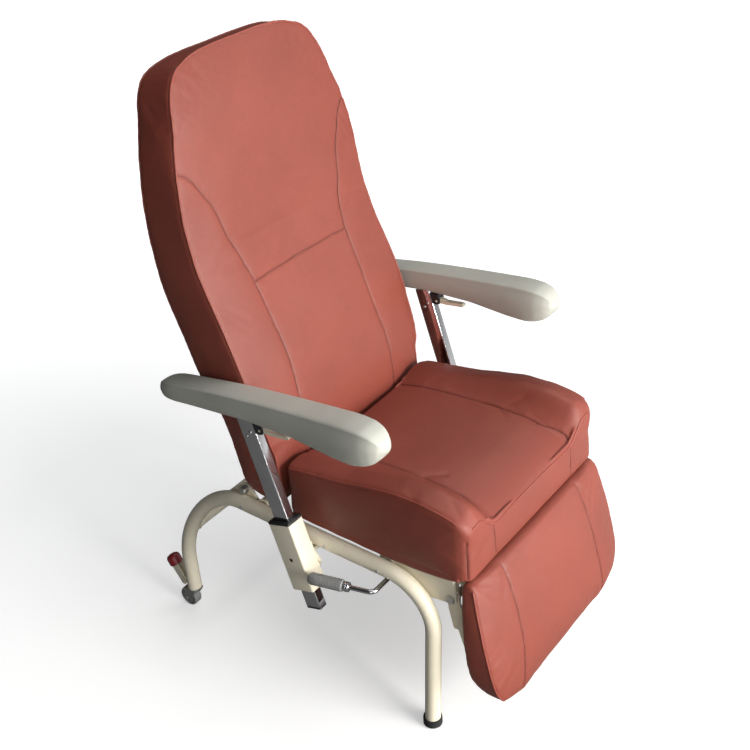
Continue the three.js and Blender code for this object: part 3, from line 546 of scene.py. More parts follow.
def bezier(controls, steps):
    curve = []
    for i in range(steps + 1):
        t = i / steps
        weights = ((1 - t) ** 3, 3 * t * (1 - t) ** 2, 3 * t * t * (1 - t), t ** 3)
        curve.append(sum(weight * np.array(control, float)
                         for weight, control in zip(weights, controls)))
    return curve


def fillet(start, corner, end, radius, steps):
    """start to end with the corner between them rounded to an arc"""
    start, corner, end = (np.array(point, float) for point in (start, corner, end))
    before, after = unit(corner - start), unit(end - corner)
    turn = math.acos(max(-1, min(1, before @ after)))
    inward = unit(after - before * (before @ after))
    centre = corner - before * radius * math.tan(turn / 2) + inward * radius
    angles = [turn * k / steps for k in range(steps + 1)]
    return [start, *(centre - inward * radius * math.cos(angle)
                     + before * radius * math.sin(angle) for angle in angles), end]


# -------------------------------------------------------------- base frame
TUBE_RADIUS = 15.0
CROSS_RADIUS = 12.5
REAR_LEG_Y = 343
RAIL_REAR = (165, 350.7)     # (y, z) where the rail starts to bend down to the rear leg
CROSS_TUBES = {              # (y, z) of each tube's axis
    "front_cross": (-175, 337.2), "mid_cross": (118, 348.8), "rear_cross": (318.5, 224)}
RAIL_SCREWS = ((150, 350.2), (-52, 342.0), (-170, 337.5))    # (y, z) on the outer face
FOOT_PROFILE = [
    (ON_AXIS, 0), (14.6, 0), (16.6, 0.7), (18.2, 2.4), (18.2, 5), (17.7, 5.7), (18.2, 6.4),
    (18.2, 9.2), (17.7, 9.9), (18.2, 10.6), (18.2, 15.2), (17.6, 18.0), (16.6, 18.6),
    (15.9, 18.1), (15.7, 6.0), (ON_AXIS, 5.4)]


def side_path(sign):
    """front leg, rail and rear leg in one bent line"""
    x = sign * RAIL_X
    front = fillet((x, FOOT_Y, 5.5), (x, -281.4, 333), (x, *RAIL_REAR), radius=97, steps=22)
    rear = bezier([(x, *RAIL_REAR), (x, 240, 353.7), (x, 342, 235), (x, REAR_LEG_Y, 130)], 30)
    return resample(np.array(front + rear[1:] + [np.array((x, REAR_LEG_Y, 52))]), 6.0)


def weld(x, y, z, radius, seed, bead=1.7, segments=64):
    """a rippled bead round a joint, in a plane across x"""
    path, radii = [], []
    for angle in np.linspace(0, 2 * math.pi, segments, endpoint=False):
        reach = radius + 0.35 * math.sin(9 * angle + seed)
        path.append((x, y - reach * math.cos(angle), z - reach * math.sin(angle)))
        radii.append(bead * (1 + 0.16 * math.sin(23 * angle + seed)))
    return tube(path, radii, 10, closed=True)


def screw_head(at, normal, radius=3.6, height=1.6):
    profile = [(ON_AXIS, -1.5), (radius, -1.5), (radius, 0.2), (radius * 0.82, height * 0.8),
               (radius * 0.5, height), (radius * 0.42, height), (radius * 0.40, height - 1.0),
               (ON_AXIS, height - 1.0)]
    return lathe(profile, at, normal, 28, ease=0.3)


def side_frame(side, sign):
    welds = [weld(sign * (RAIL_X - 14.2), y, z, radius=12.9, seed=k + sign)
             for k, (y, z) in enumerate(CROSS_TUBES.values(), 1)]
    piece(f"side_tube_{side}", merge(tube(side_path(sign), TUBE_RADIUS, 48, ease=1.2), *welds),
          "frame_paint", "frame", f"side_frame_{side}")
    heads = [screw_head((sign * (RAIL_X + 14.6), y, z), (sign, 0, 0)) for y, z in RAIL_SCREWS]
    piece(f"rail_screws_{side}", merge(*heads), "zinc_steel", "frame")
    piece(f"rubber_foot_{side}", lathe(FOOT_PROFILE, (sign * RAIL_X, FOOT_Y, 0), (0, 0, 1), 64),
          "rubber", "frame", f"front_foot_{side}")


def front_lug():
    """a hooked plate welded under the front cross tube, right of the middle"""
    outline = [(-180, 332), (-164, 332), (-136, 312), (-136, 294), (-150, 292), (-162, 317),
               (-180, 327)]    # (y, z)
    return [skin([[(x, y, z) for y, z in outline] for x in (-52, -48)]),
            weld(-50, -172, 325.5, radius=3.2, seed=4.0, bead=1.3, segments=30)]


def cross_bar(name, y, z):
    half = RAIL_X - TUBE_RADIUS - 0.4
    parts = [tube(resample([(-half, y, z), (half, y, z)], 8), CROSS_RADIUS, 44)]
    if name == "front_cross":
        parts += front_lug()
    piece(f"{name}_bar", merge(*parts), "frame_paint", "frame", f"{name}_tube")


for side, sign in SIDES:
    side_frame(side, sign)
for name, (y, z) in CROSS_TUBES.items():
    cross_bar(name, y, z)

# ------------------------------------------------------ armrest posts and sleeves
LEAN = 0.288                 # radians; the top of the post leans to the rear
LEAN_Y, LEAN_Z = math.sin(LEAN), math.cos(LEAN)
POST_X = 277.5
POST = (10, 17.5)            # half width and half depth
SLEEVE = (19, 26)
CORNER = 3.2                 # corner radius of the post
SLEEVE_CORNER = 3.4
# (y, z) of the middle of the post's head, from its front corner
POST_HEAD = (52.3 + POST[1] * LEAN_Z, 601.6 - POST[1] * LEAN_Y)
GUSSET = [                   # (y, z)
    (-46, 312), (-33, 325), (-20, 338), (-6, 343), (10, 348), (28, 346), (25, 323), (22, 300),
    (15, 285), (8, 270), (-10, 266), (-30, 262), (-38, 287)]
GUSSET_CENTRE = (-9, 307)
STRAP = [(-26, 318), (16, 318), (16, 327.6), (-26, 327.6)]    # (y, z)


def lean_point(sign, across, rearward, down):
    """a point from across the chair (x), the post's depth (rear +) and the way down the post"""
    return (sign * POST_X + across, POST_HEAD[0] - down * LEAN_Y + rearward * LEAN_Z,
            POST_HEAD[1] - down * LEAN_Z - rearward * LEAN_Y)


def lean_tube(sign, half, corner, start, end, wall=0.0, ease=0.5):
    """rectangular tube, or bar without a wall, between two distances down the post"""
    def ring(inset, radius, down):
        outline = rounded_rect(half[0] - inset, half[1] - inset, max(radius, 0.3), 7)
        return [lean_point(sign, across, rearward, down) for across, rearward in outline]

    soft = corner - ease * 0.5
    rings = [ring(ease, soft, start), ring(ease * 0.3, corner, start + ease * 0.3),
             ring(0, corner, start + ease)]
    count = max(2, int((end - start) / 12))
    for k in range(1, count):
        rings.append(ring(0, corner, start + ease + (end - start - 2 * ease) * k / count))
    rings += [ring(0, corner, end - ease), ring(ease * 0.3, corner, end - ease * 0.3),
              ring(ease, soft, end)]
    if not wall:
        return skin(rings)
    inner = [ring(wall, max(corner - wall, 0.6), down)
             for down in (end, (start + end) / 2, start)]
    return skin(rings + inner, closed=True)


def post(side, sign):
    body = f"armrest_{side}"
    piece(f"post_{side}", lean_tube(sign, POST, CORNER, -8, 392, wall=2.0),
          "chrome", body, f"armrest_post_{side}")
    # rivets through the head of the post, seen on both of its broad faces
    profile = [(ON_AXIS, -0.8), (3.4, -0.8), (3.4, 0.5), (2.2, 1.5), (ON_AXIS, 1.9)]
    rivets = [lathe(profile, lean_point(sign, face * POST[0], rearward, down), (face, 0, 0), 28,
                    ease=0.4)
              for down, rearward in ((22, -5.5), (30, 6.0)) for face in (-1, 1)]
    piece(f"post_rivets_{side}", merge(*rivets), "zinc_steel", body)
    plug = lean_tube(sign, POST, CORNER, 392.4, 396.4, ease=0.8)
    insert = lean_tube(sign, (7.4, 14.9), 1.5, 377, 392.8, ease=0.4)
    piece(f"post_end_plug_{side}", merge(plug, insert), "black_plastic", body,
          f"armrest_post_plug_{side}")


def sleeve(side, sign):
    """the box the post slides in, with a gusset and a strap on its inner face"""
    box = lean_tube(sign, SLEEVE, SLEEVE_CORNER, 209, 350, wall=3.0, ease=0.6)
    face_x = sign * (POST_X - SLEEVE[0])
    outer_x, inner_x = face_x + sign * 0.6, face_x - sign * 6
    centre_y, centre_z = GUSSET_CENTRE
    gusset = skin([[(outer_x, y, z) for y, z in GUSSET],
                   [(outer_x + (inner_x - outer_x) * 0.9, y, z) for y, z in GUSSET],
                   [(inner_x, y + (centre_y - y) * 0.02, z + (centre_z - z) * 0.02)
                    for y, z in GUSSET]])
    strap = skin([[(x, y, z) for y, z in STRAP]
                  for x in (face_x - sign * 5, sign * (RAIL_X - 7.5))])
    path = resample([lean_point(sign, -sign * 18.6, -24, down) for down in (262, 300, 340)], 2.5)
    bead = tube(path, [1.6 + 0.3 * math.sin(k * 1.9) for k in range(len(path))], 10)
    piece(f"sleeve_{side}", merge(box, gusset, strap, bead), "frame_paint", "frame",
          f"armrest_sleeve_{side}")


def set_screw(side, sign, radius=3.9, depth=2.6):
    """a dark socket set in the outer face of the sleeve"""
    profile = [(ON_AXIS, -depth), (radius * 0.8, -depth), (radius, 0.12), (radius * 0.86, 0.45),
               (radius * 0.72, 0.30), (ON_AXIS, 0.26)]
    part = lathe(profile, lean_point(sign, sign * 18.9, 0.5, 283), (sign, 0, 0), 28,
                 ease=0.15, steps=2)
    piece(f"sleeve_set_screw_{side}", part, "rubber", "frame", slot="black_paint")


def guide_bush(side, sign):
    cap = lean_tube(sign, (19.6, 26.6), SLEEVE_CORNER, 204.2, 208.6, wall=8.9, ease=0.9)
    liner = lean_tube(sign, (15.6, 22.6), 1.6, 208.2, 328, wall=4.7, ease=0.4)
    piece(f"guide_bush_{side}", merge(cap, liner), "black_plastic", "frame",
          f"sleeve_bush_{side}")


for side, sign in SIDES:
    post(side, sign)
    sleeve(side, sign)
    set_screw(side, sign)
    guide_bush(side, sign)

# ---------------------------------------------------------------- armrest pads
PAD_X = 279.5
# stations from front to rear, closer together towards both ends
PAD_STATIONS = np.unique(np.concatenate([
    -236 + 66 * (1 - np.cos(np.linspace(0, math.pi / 2, 26))),
    np.linspace(-170, 230, 70),
    270.5 - 38 * (1 - np.cos(np.linspace(0, math.pi / 2, 22)))]))


def cut_corners(ring):
    """two rounds of corner cutting on a closed outline"""
    points = np.array(ring, float)
    for _ in range(2):
        ahead = np.roll(points, -1, 0)
        points = np.stack([0.75 * points + 0.25 * ahead, 0.25 * points + 0.75 * ahead],
                          1).reshape(-1, 2)
    return points


def pad_section(y):
    top, bottom = value_at(PAD_TOP, y), value_at(PAD_BOTTOM, y)
    half_top, half_mid = value_at(PAD_HALF_TOP, y), value_at(PAD_HALF_MID, y)
    height = top - bottom
    half = [(half_top * 0.30, top + 0.6), (half_top * 0.78, top),
            (half_top, top - height * 0.035), (half_top * 1.03, top - height * 0.11),
            (half_mid * 0.97, top - height * 0.34), (half_mid, top - height * 0.50),
            (half_mid * 0.985, top - height * 0.66), (half_mid * 0.90, bottom + height * 0.13),
            (half_mid * 0.66, bottom + height * 0.02), (half_mid * 0.3, bottom)]
    return cut_corners(half + [(-x, z) for x, z in reversed(half)])


for side, sign in SIDES:
    rings = [[(sign * PAD_X + x, y, z) for x, z in pad_section(y)] for y in PAD_STATIONS]
    piece(f"armrest_pad_cover_{side}", skin(rings), "armrest_skin", f"armrest_{side}",
          f"armrest_pad_{side}", sharp=80)

# --------------------------------------------------------------- recline lever
LEVER_BEND = np.array((-274.0, -178, 309))    # where the cross rod turns to the rear
LEVER_END = np.array((-299.5, -62, 307.5))
LEVER_AXIS = unit(LEVER_END - LEVER_BEND)
LEVER_LENGTH = float(np.linalg.norm(LEVER_END - LEVER_BEND))
# heights in both profiles run from the bend
FERRULE = [(ON_AXIS, 46), (8.2, 46), (9.5, 47.6), (9.5, 50.2), (8.7, 51), (9.5, 51.8),
           (9.5, 54.6), (7.5, 57), (ON_AXIS, 57)]
RIB_PITCH = 5.2


def lever_rod():
    path = fillet((-24, -178, 309), LEVER_BEND, LEVER_END - LEVER_AXIS * 6, radius=13, steps=12)
    ferrule = lathe(FERRULE, LEVER_BEND, LEVER_AXIS, 48, ease=0.5)
    piece("recline_rod", merge(tube(resample(path, 3.0), 4.5, 32, ease=0.6), ferrule),
          "chrome", "recline_lever", "recline_lever_rod")


def lever_grip():
    profile = [(ON_AXIS, 58), (9.6, 58), (11.3, 60)]
    height = 63.0
    while height < LEVER_LENGTH - 9:
        profile += [(11.5, height), (11.5, height + 3.0), (11.0, height + 3.7),
                    (11.5, height + 4.4)]
        height += RIB_PITCH
    profile += [(radius, LEVER_LENGTH + beyond)
                for radius, beyond in ((11.4, 2), (9.3, 6.5), (5, 9.2), (ON_AXIS, 9.8))]
    piece("recline_grip", lathe(profile, LEVER_BEND, LEVER_AXIS, 48), "grey_plastic",
          "recline_lever", "recline_lever_grip")


lever_rod()
lever_grip()

# ------------------------------------------------------------------ mechanism
HINGE_Y, HINGE_Z = 158.0, 374.0
HINGE_HALF = 233.7
# the gas spring lies midway in height between the ends of an arm from the hinge,
# one hanging straight down and one swung by ARM_SWING
ARM_RADIUS, ARM_SWING = 74.0, math.radians(20)
SPRING_Z = HINGE_Z - ARM_RADIUS * (math.cos(ARM_SWING) + 1) / 2
SPRING_PROFILE = [(ON_AXIS, -148), (7, -148), (7, -134), (11, -130), (11, 52), (9, 56),
                  (5.0, 56), (4.9, 50), (ON_AXIS, 50)]
PIN_PROFILE = [(ON_AXIS, -HINGE_HALF), (8, -HINGE_HALF), (8, HINGE_HALF), (ON_AXIS, HINGE_HALF)]
piece("gas_spring_tube",
      lathe(SPRING_PROFILE, (-40, 0, SPRING_Z), (0, 1, 0), 48, ease=0.8, steps=4),
      "black_paint", "frame", "gas_spring_cylinder")
piece("hinge_pin", lathe(PIN_PROFILE, (0, HINGE_Y, HINGE_Z), (1, 0, 0), 40, ease=0.8),
      "zinc_steel", "frame", "hinge_shaft")

# ---------------------------------------------------------------- rear castors
WHEEL_Y, WHEEL_RADIUS = 360, 22
WHEEL_HALF = [               # (radius, distance from the wheel's middle plane)
    (ON_AXIS, 14.5), (2.9, 14.5), (2.9, 9.8), (8.6, 9.8), (9.2, 8.2), (17.4, 7.9), (18.2, 9.4),
    (20.4, 9.5), (21.5, 8.3), (WHEEL_RADIUS, 6.0)]
WHEEL_PROFILE = [(radius, -offset) for radius, offset in WHEEL_HALF] + WHEEL_HALF[::-1]
PEDAL_Y, PEDAL_Z, PEDAL_LEAN = 390.6, 100.9, math.radians(32)
PEDAL_AXIS = (0, math.sin(PEDAL_LEAN), math.cos(PEDAL_LEAN))
# domed cap on the pedal, stepped below where the pedal enters it
PEDAL_PROFILE = [(ON_AXIS, 3.0), (9.9, 3.0), (10.4, -5.6), (13.4, -5.9), (14.8, -4.4),
                 (14.8, 10), (13.9, 13.4), (11.7, 15.8), (7, 17.8), (ON_AXIS, 18.4)]
for side, sign in SIDES:
    wheel = lathe(WHEEL_PROFILE, (sign * RAIL_X, WHEEL_Y, WHEEL_RADIUS), (1, 0, 0), 72, ease=0.5)
    piece(f"castor_tyre_{side}", wheel, "grey_plastic", f"castor_wheel_{side}",
          f"castor_wheel_{side}")
    tip = lathe(PEDAL_PROFILE, (sign * RAIL_X, PEDAL_Y, PEDAL_Z), PEDAL_AXIS, 56,
                ease=0.7, steps=4)
    piece(f"pedal_tip_{side}", tip, "red_plastic", f"brake_pedal_{side}", f"pedal_cap_{side}")

# CAD nodes whose shape is already right keep it, with eased edges and their own finish, except
# that parts in the frame paint get a darker copy of the cream as painted shade
slot_of = {part["node"]: part["material_slot"] for part in frame["record"]["subparts"]}
for name, obj in frame["nodes"].items():
    if obj.hide_render:
        continue
    slot = slot_of[name]
    obj.data.materials.clear()
    obj.data.materials.append(FINISHES["shaded_plate_paint" if slot == "frame_paint" else slot])
    if slot != "upholstery":
        bevel = obj.modifiers.new("eased", "BEVEL")
        bevel.width = 0.0006
        bevel.segments = 2
        bevel.limit_method = "ANGLE"
        bevel.angle_limit = math.radians(40)
        bevel.use_clamp_overlap = True


# ---------------------------------------------------------- cushion shapes
# inset: how far a face is set back, in mm, to leave room for the crown
def back_fall(z):
    """how much lower the rear edge is than the front edge at the top of the back"""
    t = float(np.clip((z - 1115) / 65.0, 0, 1))
    return 13.0 * t * t * (3 - 2 * t)


def back_shape(inset=2.0):
    rings = []
    for z in np.concatenate([np.linspace(371 + inset * 0.5, 395, 8),
                             np.linspace(400, 1120, 130),
                             np.linspace(1124, 1180 - inset * 0.4, 24)]):
        half = value_at(BACK_HALF, z) + 1.0
        front = value_at(BACK_FRONT, z) + inset
        rear = value_at(BACK_REAR, z) + 0.8
        depth = rear - front
        outline = rounded_rect(half, depth / 2, min(5.0, depth / 2.4), 5)
        fall = back_fall(z)
        rings.append([(x, y + (front + rear) / 2, z - fall * (y + depth / 2) / depth)
                      for x, y in outline])
    return skin(rings)


def seat_top(x, y):
    """height of the seat: a crowned middle, a smooth step up to the sides, a crest on them"""
    side, middle = monotone(SEAT_SIDE, y), monotone(SEAT_MID, y)
    away = np.abs(x)
    t = np.clip((away - 126) / 62.0, 0, 1)
    t = t * t * (3 - 2 * t)
    middle = middle + 2.5 * (1 - np.clip(away / 131.0, 0, 1) ** 2)
    crest = (8.0 * np.exp(-((away - 186) / 25.0) ** 2) * np.clip((-150 - y) / 120.0, 0.25, 1.0)
             * np.clip((y + 350) / 22.0, 0.4, 1.0))
    return middle + (side - middle) * t + crest


def seat_shape(inset=1.0, bottom=368.0):
    rings = []
    for y in np.concatenate([np.linspace(-348 + inset * 0.7, -322, 12),
                             np.linspace(-318, 28, 70),
                             np.linspace(31, 48 - inset * 0.4, 6)]):
        half = value_at(SEAT_HALF, y) + 0.3
        top = [(x, float(seat_top(x, y)) - inset)
               for x in np.linspace(-(half - 12), half - 12, 64)]
        edge = top[-1][1]
        corner = [(half - 12 + 12 * math.sin(t), edge - 13 * (1 - math.cos(t)))
                  for t in np.linspace(0.25, math.pi / 2, 6)]
        wall = [(half, edge - 13 - (edge - 13 - bottom - 5) * k / 5) for k in range(1, 6)]
        right = corner + wall + [(half - 1.5, bottom + 1.5), (half - 5, bottom)]
        left = [(-x, z) for x, z in reversed(right)]
        base = [(x, bottom) for x in np.linspace(half - 40, -(half - 40), 14)]
        rings.append([(x, y, z) for x, z in top + right + base + left])
    return skin(rings)


def leg_shape(inset=1.5):
    rings = []
    for z in np.concatenate([np.linspace(81 + inset * 0.3, 124, 16),
                             np.linspace(128, 350, 56),
                             np.linspace(354, 364 - inset * 0.4, 4)]):
        half = value_at(LEG_HALF, z) + 0.5
        front, rear = value_at(LEG_FRONT, z), value_at(LEG_REAR, z)
        depth, middle = rear - front, (front + rear) / 2
        radius = min(5.5, depth / 2.5)
        ring = [(x, y + middle) for x, y in rounded_rect(half, depth / 2, radius, 5)]
        # more points across the front, between the third and fourth corners, carry a crown
        reach = half - radius - 2
        face = [(x, front + inset) for x in np.linspace(-reach, reach, 40)]
        split = 3 * (len(ring) // 4)
        bent = []
        for x, y in ring[:split] + face + ring[split:]:
            if y < middle:
                t = np.clip((abs(x) - 150) / (half - 150 + 1e-6), 0, 1)
                y = y + 8.0 * t * t
            bent.append((x, y, z))
        rings.append(bent)
    return skin(rings)


# ------------------------------------------------------------ seam courses
# a line is (points, direction): points off the cover, dropped onto it along the direction
REARWARD, DOWN = (0, 1, 0), (0, 0, -1)
BACK_SEAM = [                # (z, distance from the middle)
    (572, 136), (610, 131), (643, 129.5), (690, 130), (740, 132), (782, 133), (811, 139),
    (840, 146), (870, 158), (907, 166), (930, 172), (951, 184), (984, 202), (1001, 222),
    (1006, 233)]
SEAT_SEAM = [                # (y, distance from the middle)
    (-340, 138), (-330, 141), (-310, 138), (-280, 131), (-240, 131), (-100, 131), (44, 134)]
LEG_SEAM = [                 # (z, distance from the middle)
    (104, 155), (130, 153), (170, 147), (210, 142), (250, 140), (300, 138), (350, 136),
    (362, 136)]


def back_lines():
    lines = [([(sign * value_at(BACK_SEAM, z), 0, z) for z in np.linspace(430, 1006, 200)],
              REARWARD) for sign in (-1, 1)]
    lumbar = [(x, 0, 780 + 3.0 * math.cos(x / 131 * math.pi / 2))
              for x in np.linspace(-131, 131, 90)]
    return lines + [(lumbar, REARWARD)]


def seat_lines():
    lines = []
    for sign in (-1, 1):
        top = [(sign * value_at(SEAT_SEAM, y), y, 430) for y in np.linspace(-338, 40, 150)]
        front = [(sign * (138 - 4 * (440 - z) / 70), -340, z) for z in np.linspace(438, 374, 30)]
        corner = [(sign * 214, -335, z) for z in np.linspace(452, 374, 32)]
        lines += [(top, DOWN), (front, REARWARD), (corner, (-sign * 0.6, 0.8, 0))]
    return lines


def leg_lines():
    return [([(sign * value_at(LEG_SEAM, z), -370, z) for z in np.linspace(104, 358, 110)],
             REARWARD) for sign in (-1, 1)]


def fold_lines(table, signs, place, direction):
    """straight folds; rows are (x, other) at the start and at the end, place gives the point"""
    return [([place(sign * (x0 + (x1 - x0) * t), other0 + (other1 - other0) * t)
              for t in np.linspace(0, 1, 14)], direction)
            for sign in signs for x0, other0, x1, other1 in table]


# voxel, crown (typical bulge), limit (greatest bulge) and valley (depth along a seam) are in
# metres; held is the (axis, sign) of the normals where the cover lies on its board
CUSHIONS = {
    "back_cushion_cover": dict(
        shape=back_shape(), voxel=0.0050, limit=0.024, crown=0.009, held=(1, 1),
        lines=back_lines(), valley=0.0009, seed=1.0,
        folds=fold_lines([(218, 996, 232, 958), (205, 984, 228, 936), (192, 966, 214, 930)],
                         (1,), lambda x, z: (x, 0, z), REARWARD),
        body="backrest", replaces=("back_cushion", "back_board")),
    "seat_cushion_cover": dict(
        shape=seat_shape(), voxel=0.0045, limit=0.022, crown=0.008, held=(2, -1),
        lines=seat_lines(), valley=0.0003, seed=2.0,
        folds=fold_lines([(127, -196, 104, -226), (137, -205, 160, -232),
                          (210, -322, 196, -300)], (-1, 1), lambda x, y: (x, y, 430), DOWN),
        body="frame", replaces=("seat_cushion", "seat_board")),
    "legrest_cushion_cover": dict(
        shape=leg_shape(), voxel=0.0045, limit=0.022, crown=0.008, held=(1, 1),
        lines=leg_lines(), valley=0.0009, seed=3.0,
        folds=fold_lines([(140, 350, 158, 322), (141, 338, 164, 312)],
                         (-1, 1), lambda x, z: (x, -370, z), REARWARD),
        body="legrest", replaces=("legrest_pad", "legrest_board")),
}


# ------------------------------------------------------- stuffing the covers
def bake(obj, kind, **settings):
    """adds a modifier, takes its result as the mesh and removes it"""
    modifier = obj.modifiers.new("m", kind)
    for key, value in settings.items():
        setattr(modifier, key, value)
    bpy.context.view_layer.update()
    evaluated = obj.evaluated_get(bpy.context.evaluated_depsgraph_get())
    mesh = bpy.data.meshes.new_from_object(evaluated)
    obj.modifiers.clear()
    old = obj.data
    obj.data = mesh
    bpy.data.meshes.remove(old)


def coords(obj):
    flat = np.zeros(len(obj.data.vertices) * 3)
    obj.data.vertices.foreach_get("co", flat)
    return flat.reshape(-1, 3)


def set_coords(obj, points):
    obj.data.vertices.foreach_set("co", np.ascontiguousarray(points, dtype=np.float64).ravel())
    obj.data.update()


def normals(obj):
    flat = np.zeros(len(obj.data.vertices) * 3)
    obj.data.vertex_normals.foreach_get("vector", flat)
    return flat.reshape(-1, 3)


CLOTH_FRAMES = 20
CLOTH = dict(quality=5, mass=0.3, tension_stiffness=15, compression_stiffness=15,
             shear_stiffness=5, bending_stiffness=0.5, use_pressure=True,
             uniform_pressure_force=4.0, vertex_group_mass="held")


def add_cloth(cover, held):
    axis, sign = held
    on_board = sign * normals(cover)[:, axis] > 0.55
    group = cover.vertex_groups.new(name="held")
    group.add([int(i) for i in np.nonzero(on_board)[0]], 1.0, "REPLACE")
    cloth = cover.modifiers.new("cloth", "CLOTH")
    for key, value in CLOTH.items():
        setattr(cloth.settings, key, value)
    cloth.settings.effector_weights.gravity = 0.0
    cloth.point_cache.frame_start = 1
    cloth.point_cache.frame_end = CLOTH_FRAMES


def inflate(covers):
    """blows the covers up as cloth; the bulge is then scaled to each cushion's crown"""
    start = {name: coords(cover) for name, cover in covers.items()}
    for name, cover in covers.items():
        add_cloth(cover, CUSHIONS[name]["held"])
    scene.frame_start, scene.frame_end = 1, CLOTH_FRAMES
    for number in range(1, CLOTH_FRAMES + 1):
        scene.frame_set(number)
    depsgraph = bpy.context.evaluated_depsgraph_get()
    for name, cover in covers.items():
        cushion = CUSHIONS[name]
        shift = coords(cover.evaluated_get(depsgraph)) - start[name]
        length = np.linalg.norm(shift, axis=1)
        scale = min(1.0, cushion["crown"] / (np.percentile(length, 97) + 1e-9))
        shift = shift * scale
        length = length * scale
        shift *= np.minimum(1.0, cushion["limit"] / (length + 1e-9))[:, None]
        cover.modifiers.clear()
        cover.vertex_groups.clear()
        set_coords(cover, start[name] + shift)
    scene.frame_set(1)


covers = {}
for name, cushion in CUSHIONS.items():
    verts, faces = cushion["shape"]
    covers[name] = add_object(name, clean_mesh(name, (to_row(verts), faces)))
    bake(covers[name], "REMESH", mode="VOXEL", voxel_size=cushion["voxel"],
         use_smooth_shade=True)
inflate(covers)


# ------------------------------------------------------- sewing the covers
def surface(obj):
    mesh = obj.data
    return BVHTree.FromPolygons([v.co for v in mesh.vertices],
                                [p.vertices for p in mesh.polygons])


def drape(tree, points, direction, reach=0.6):
    """drops design points onto the surface along a direction"""
    dropped = []
    direction = Vector(direction).normalized()
    for point in to_row(points):
        hit = tree.ray_cast(Vector(point) - direction * reach, direction)[0]
        if hit is not None:
            dropped.append(np.array(hit))
    return np.array(dropped)


def groove(cover, lines, crease, valley, gather=0.0, wave=0.012):
    """a narrow crease in a soft valley, each (depth, width), gathered in waves beside it"""
    tree = surface(cover)
    seams, arcs = [], []
    for points, direction in lines:
        seam = drape(tree, points, direction)
        if len(seam) < 3:    # the line misses the cover
            continue
        seam = relax(resample(seam, 0.0012), 6)
        arcs.append(np.r_[0, np.cumsum(np.linalg.norm(np.diff(seam, axis=0), axis=1))])
        seams.append(seam)
    seam_points, arc = np.vstack(seams), np.concatenate(arcs)
    nearest = KDTree(len(seam_points))
    for i, point in enumerate(seam_points):
        nearest.insert(point, i)
    nearest.balance()
    points, outward = coords(cover), normals(cover)
    distance, index = np.full(len(points), 1.0), np.zeros(len(points), int)
    reach = valley[1] * 3.2
    low, high = seam_points.min(0) - reach, seam_points.max(0) + reach
    for i in np.nonzero(((points > low) & (points < high)).all(1))[0]:
        _, index[i], distance[i] = nearest.find(points[i])
    along = arc[index]
    cut = (crease[0] * np.exp(-(distance / crease[1]) ** 2)
           + valley[0] * np.exp(-(distance / valley[1]) ** 2))
    pucker = (gather * np.sin(2 * np.pi * along / wave + 1.7 * np.sin(along * 61))
              * np.exp(-((distance - 0.006) / 0.006) ** 2))
    set_coords(cover, points - outward * (cut + pucker)[:, None])
    return seams


def ripple(cover, seed, amount=0.00045):
    """slight unevenness of stuffed foam; wavelengths in mm"""
    points, outward = coords(cover), normals(cover)
    x, y, z = (points * 1000).T
    height = (np.sin(x / 47 + seed) * np.sin(z / 61 + 2 * seed)
              + 0.6 * np.sin((x + y + z) / 33 + seed)
              + 0.4 * np.sin((x - z) / 21 + 3 * seed) * np.sin(y / 27))
    set_coords(cover, points + outward * (height * amount)[:, None])


def seam_line(name, cover, seams, body):
    """a dark thin tube at the bottom of each seam, a painted shadow in the seam"""
    tree = surface(cover)
    parts = []
    for seam in seams:
        path = [np.array(tree.find_nearest(Vector(p))[0]) for p in resample(seam, 0.0025)]
        parts.append(tube(relax(path), 0.0005, 7))
    metre_piece(name, merge(*parts), "seam_shadow", body, slot="upholstery")


def stitches(name, cover, seams, body, offset=0.0025, pitch=0.0052, length=0.0031,
             radius=0.00042):
    """thread in short capsules on the surface, at an offset beside each seam"""
    tree = surface(cover)
    radii = [radius * 0.7, radius, radius, radius, radius * 0.7]
    parts = []
    for seam in seams:
        path = resample(seam, pitch / 4)
        tangents = unit_tangents(path)
        for i in range(2, len(path) - 3, 4):
            side = np.cross(tangents[i], np.array(tree.find_nearest(Vector(path[i]))[1]))
            side /= np.linalg.norm(side) + 1e-12
            centre, up = map(np.array, tree.find_nearest(Vector(path[i] + side * offset))[:2])
            start = centre - tangents[i] * length / 2 - up * radius * 0.9
            top = centre + up * radius * 0.55
            end = centre + tangents[i] * length / 2 - up * radius * 0.9
            lift = up * radius * 0.25
            parts.append(tube([start, start * 0.5 + top * 0.5 + lift, top,
                               top * 0.5 + end * 0.5 + lift, end], radii, 6))
    metre_piece(name, merge(*parts), "thread", body, slot="upholstery")


def welt(name, cover, path, body, radius, sink=0.45):
    """a sewn edge roll along the cover, sunk by a share of its diameter"""
    tree = surface(cover)
    laid = []
    for point in resample(to_row(path), 0.0025):
        at, outward = tree.find_nearest(Vector(point))[:2]
        laid.append(np.array(at) + np.array(outward) * radius * (1 - 2 * sink))
    laid = relax(resample(np.array(laid), 0.003))
    radii = [radius * (1 + 0.05 * math.sin(k * 1.3)) for k in range(len(laid))]
    metre_piece(name, tube(laid, radii, 12), "welt", body, slot="upholstery")


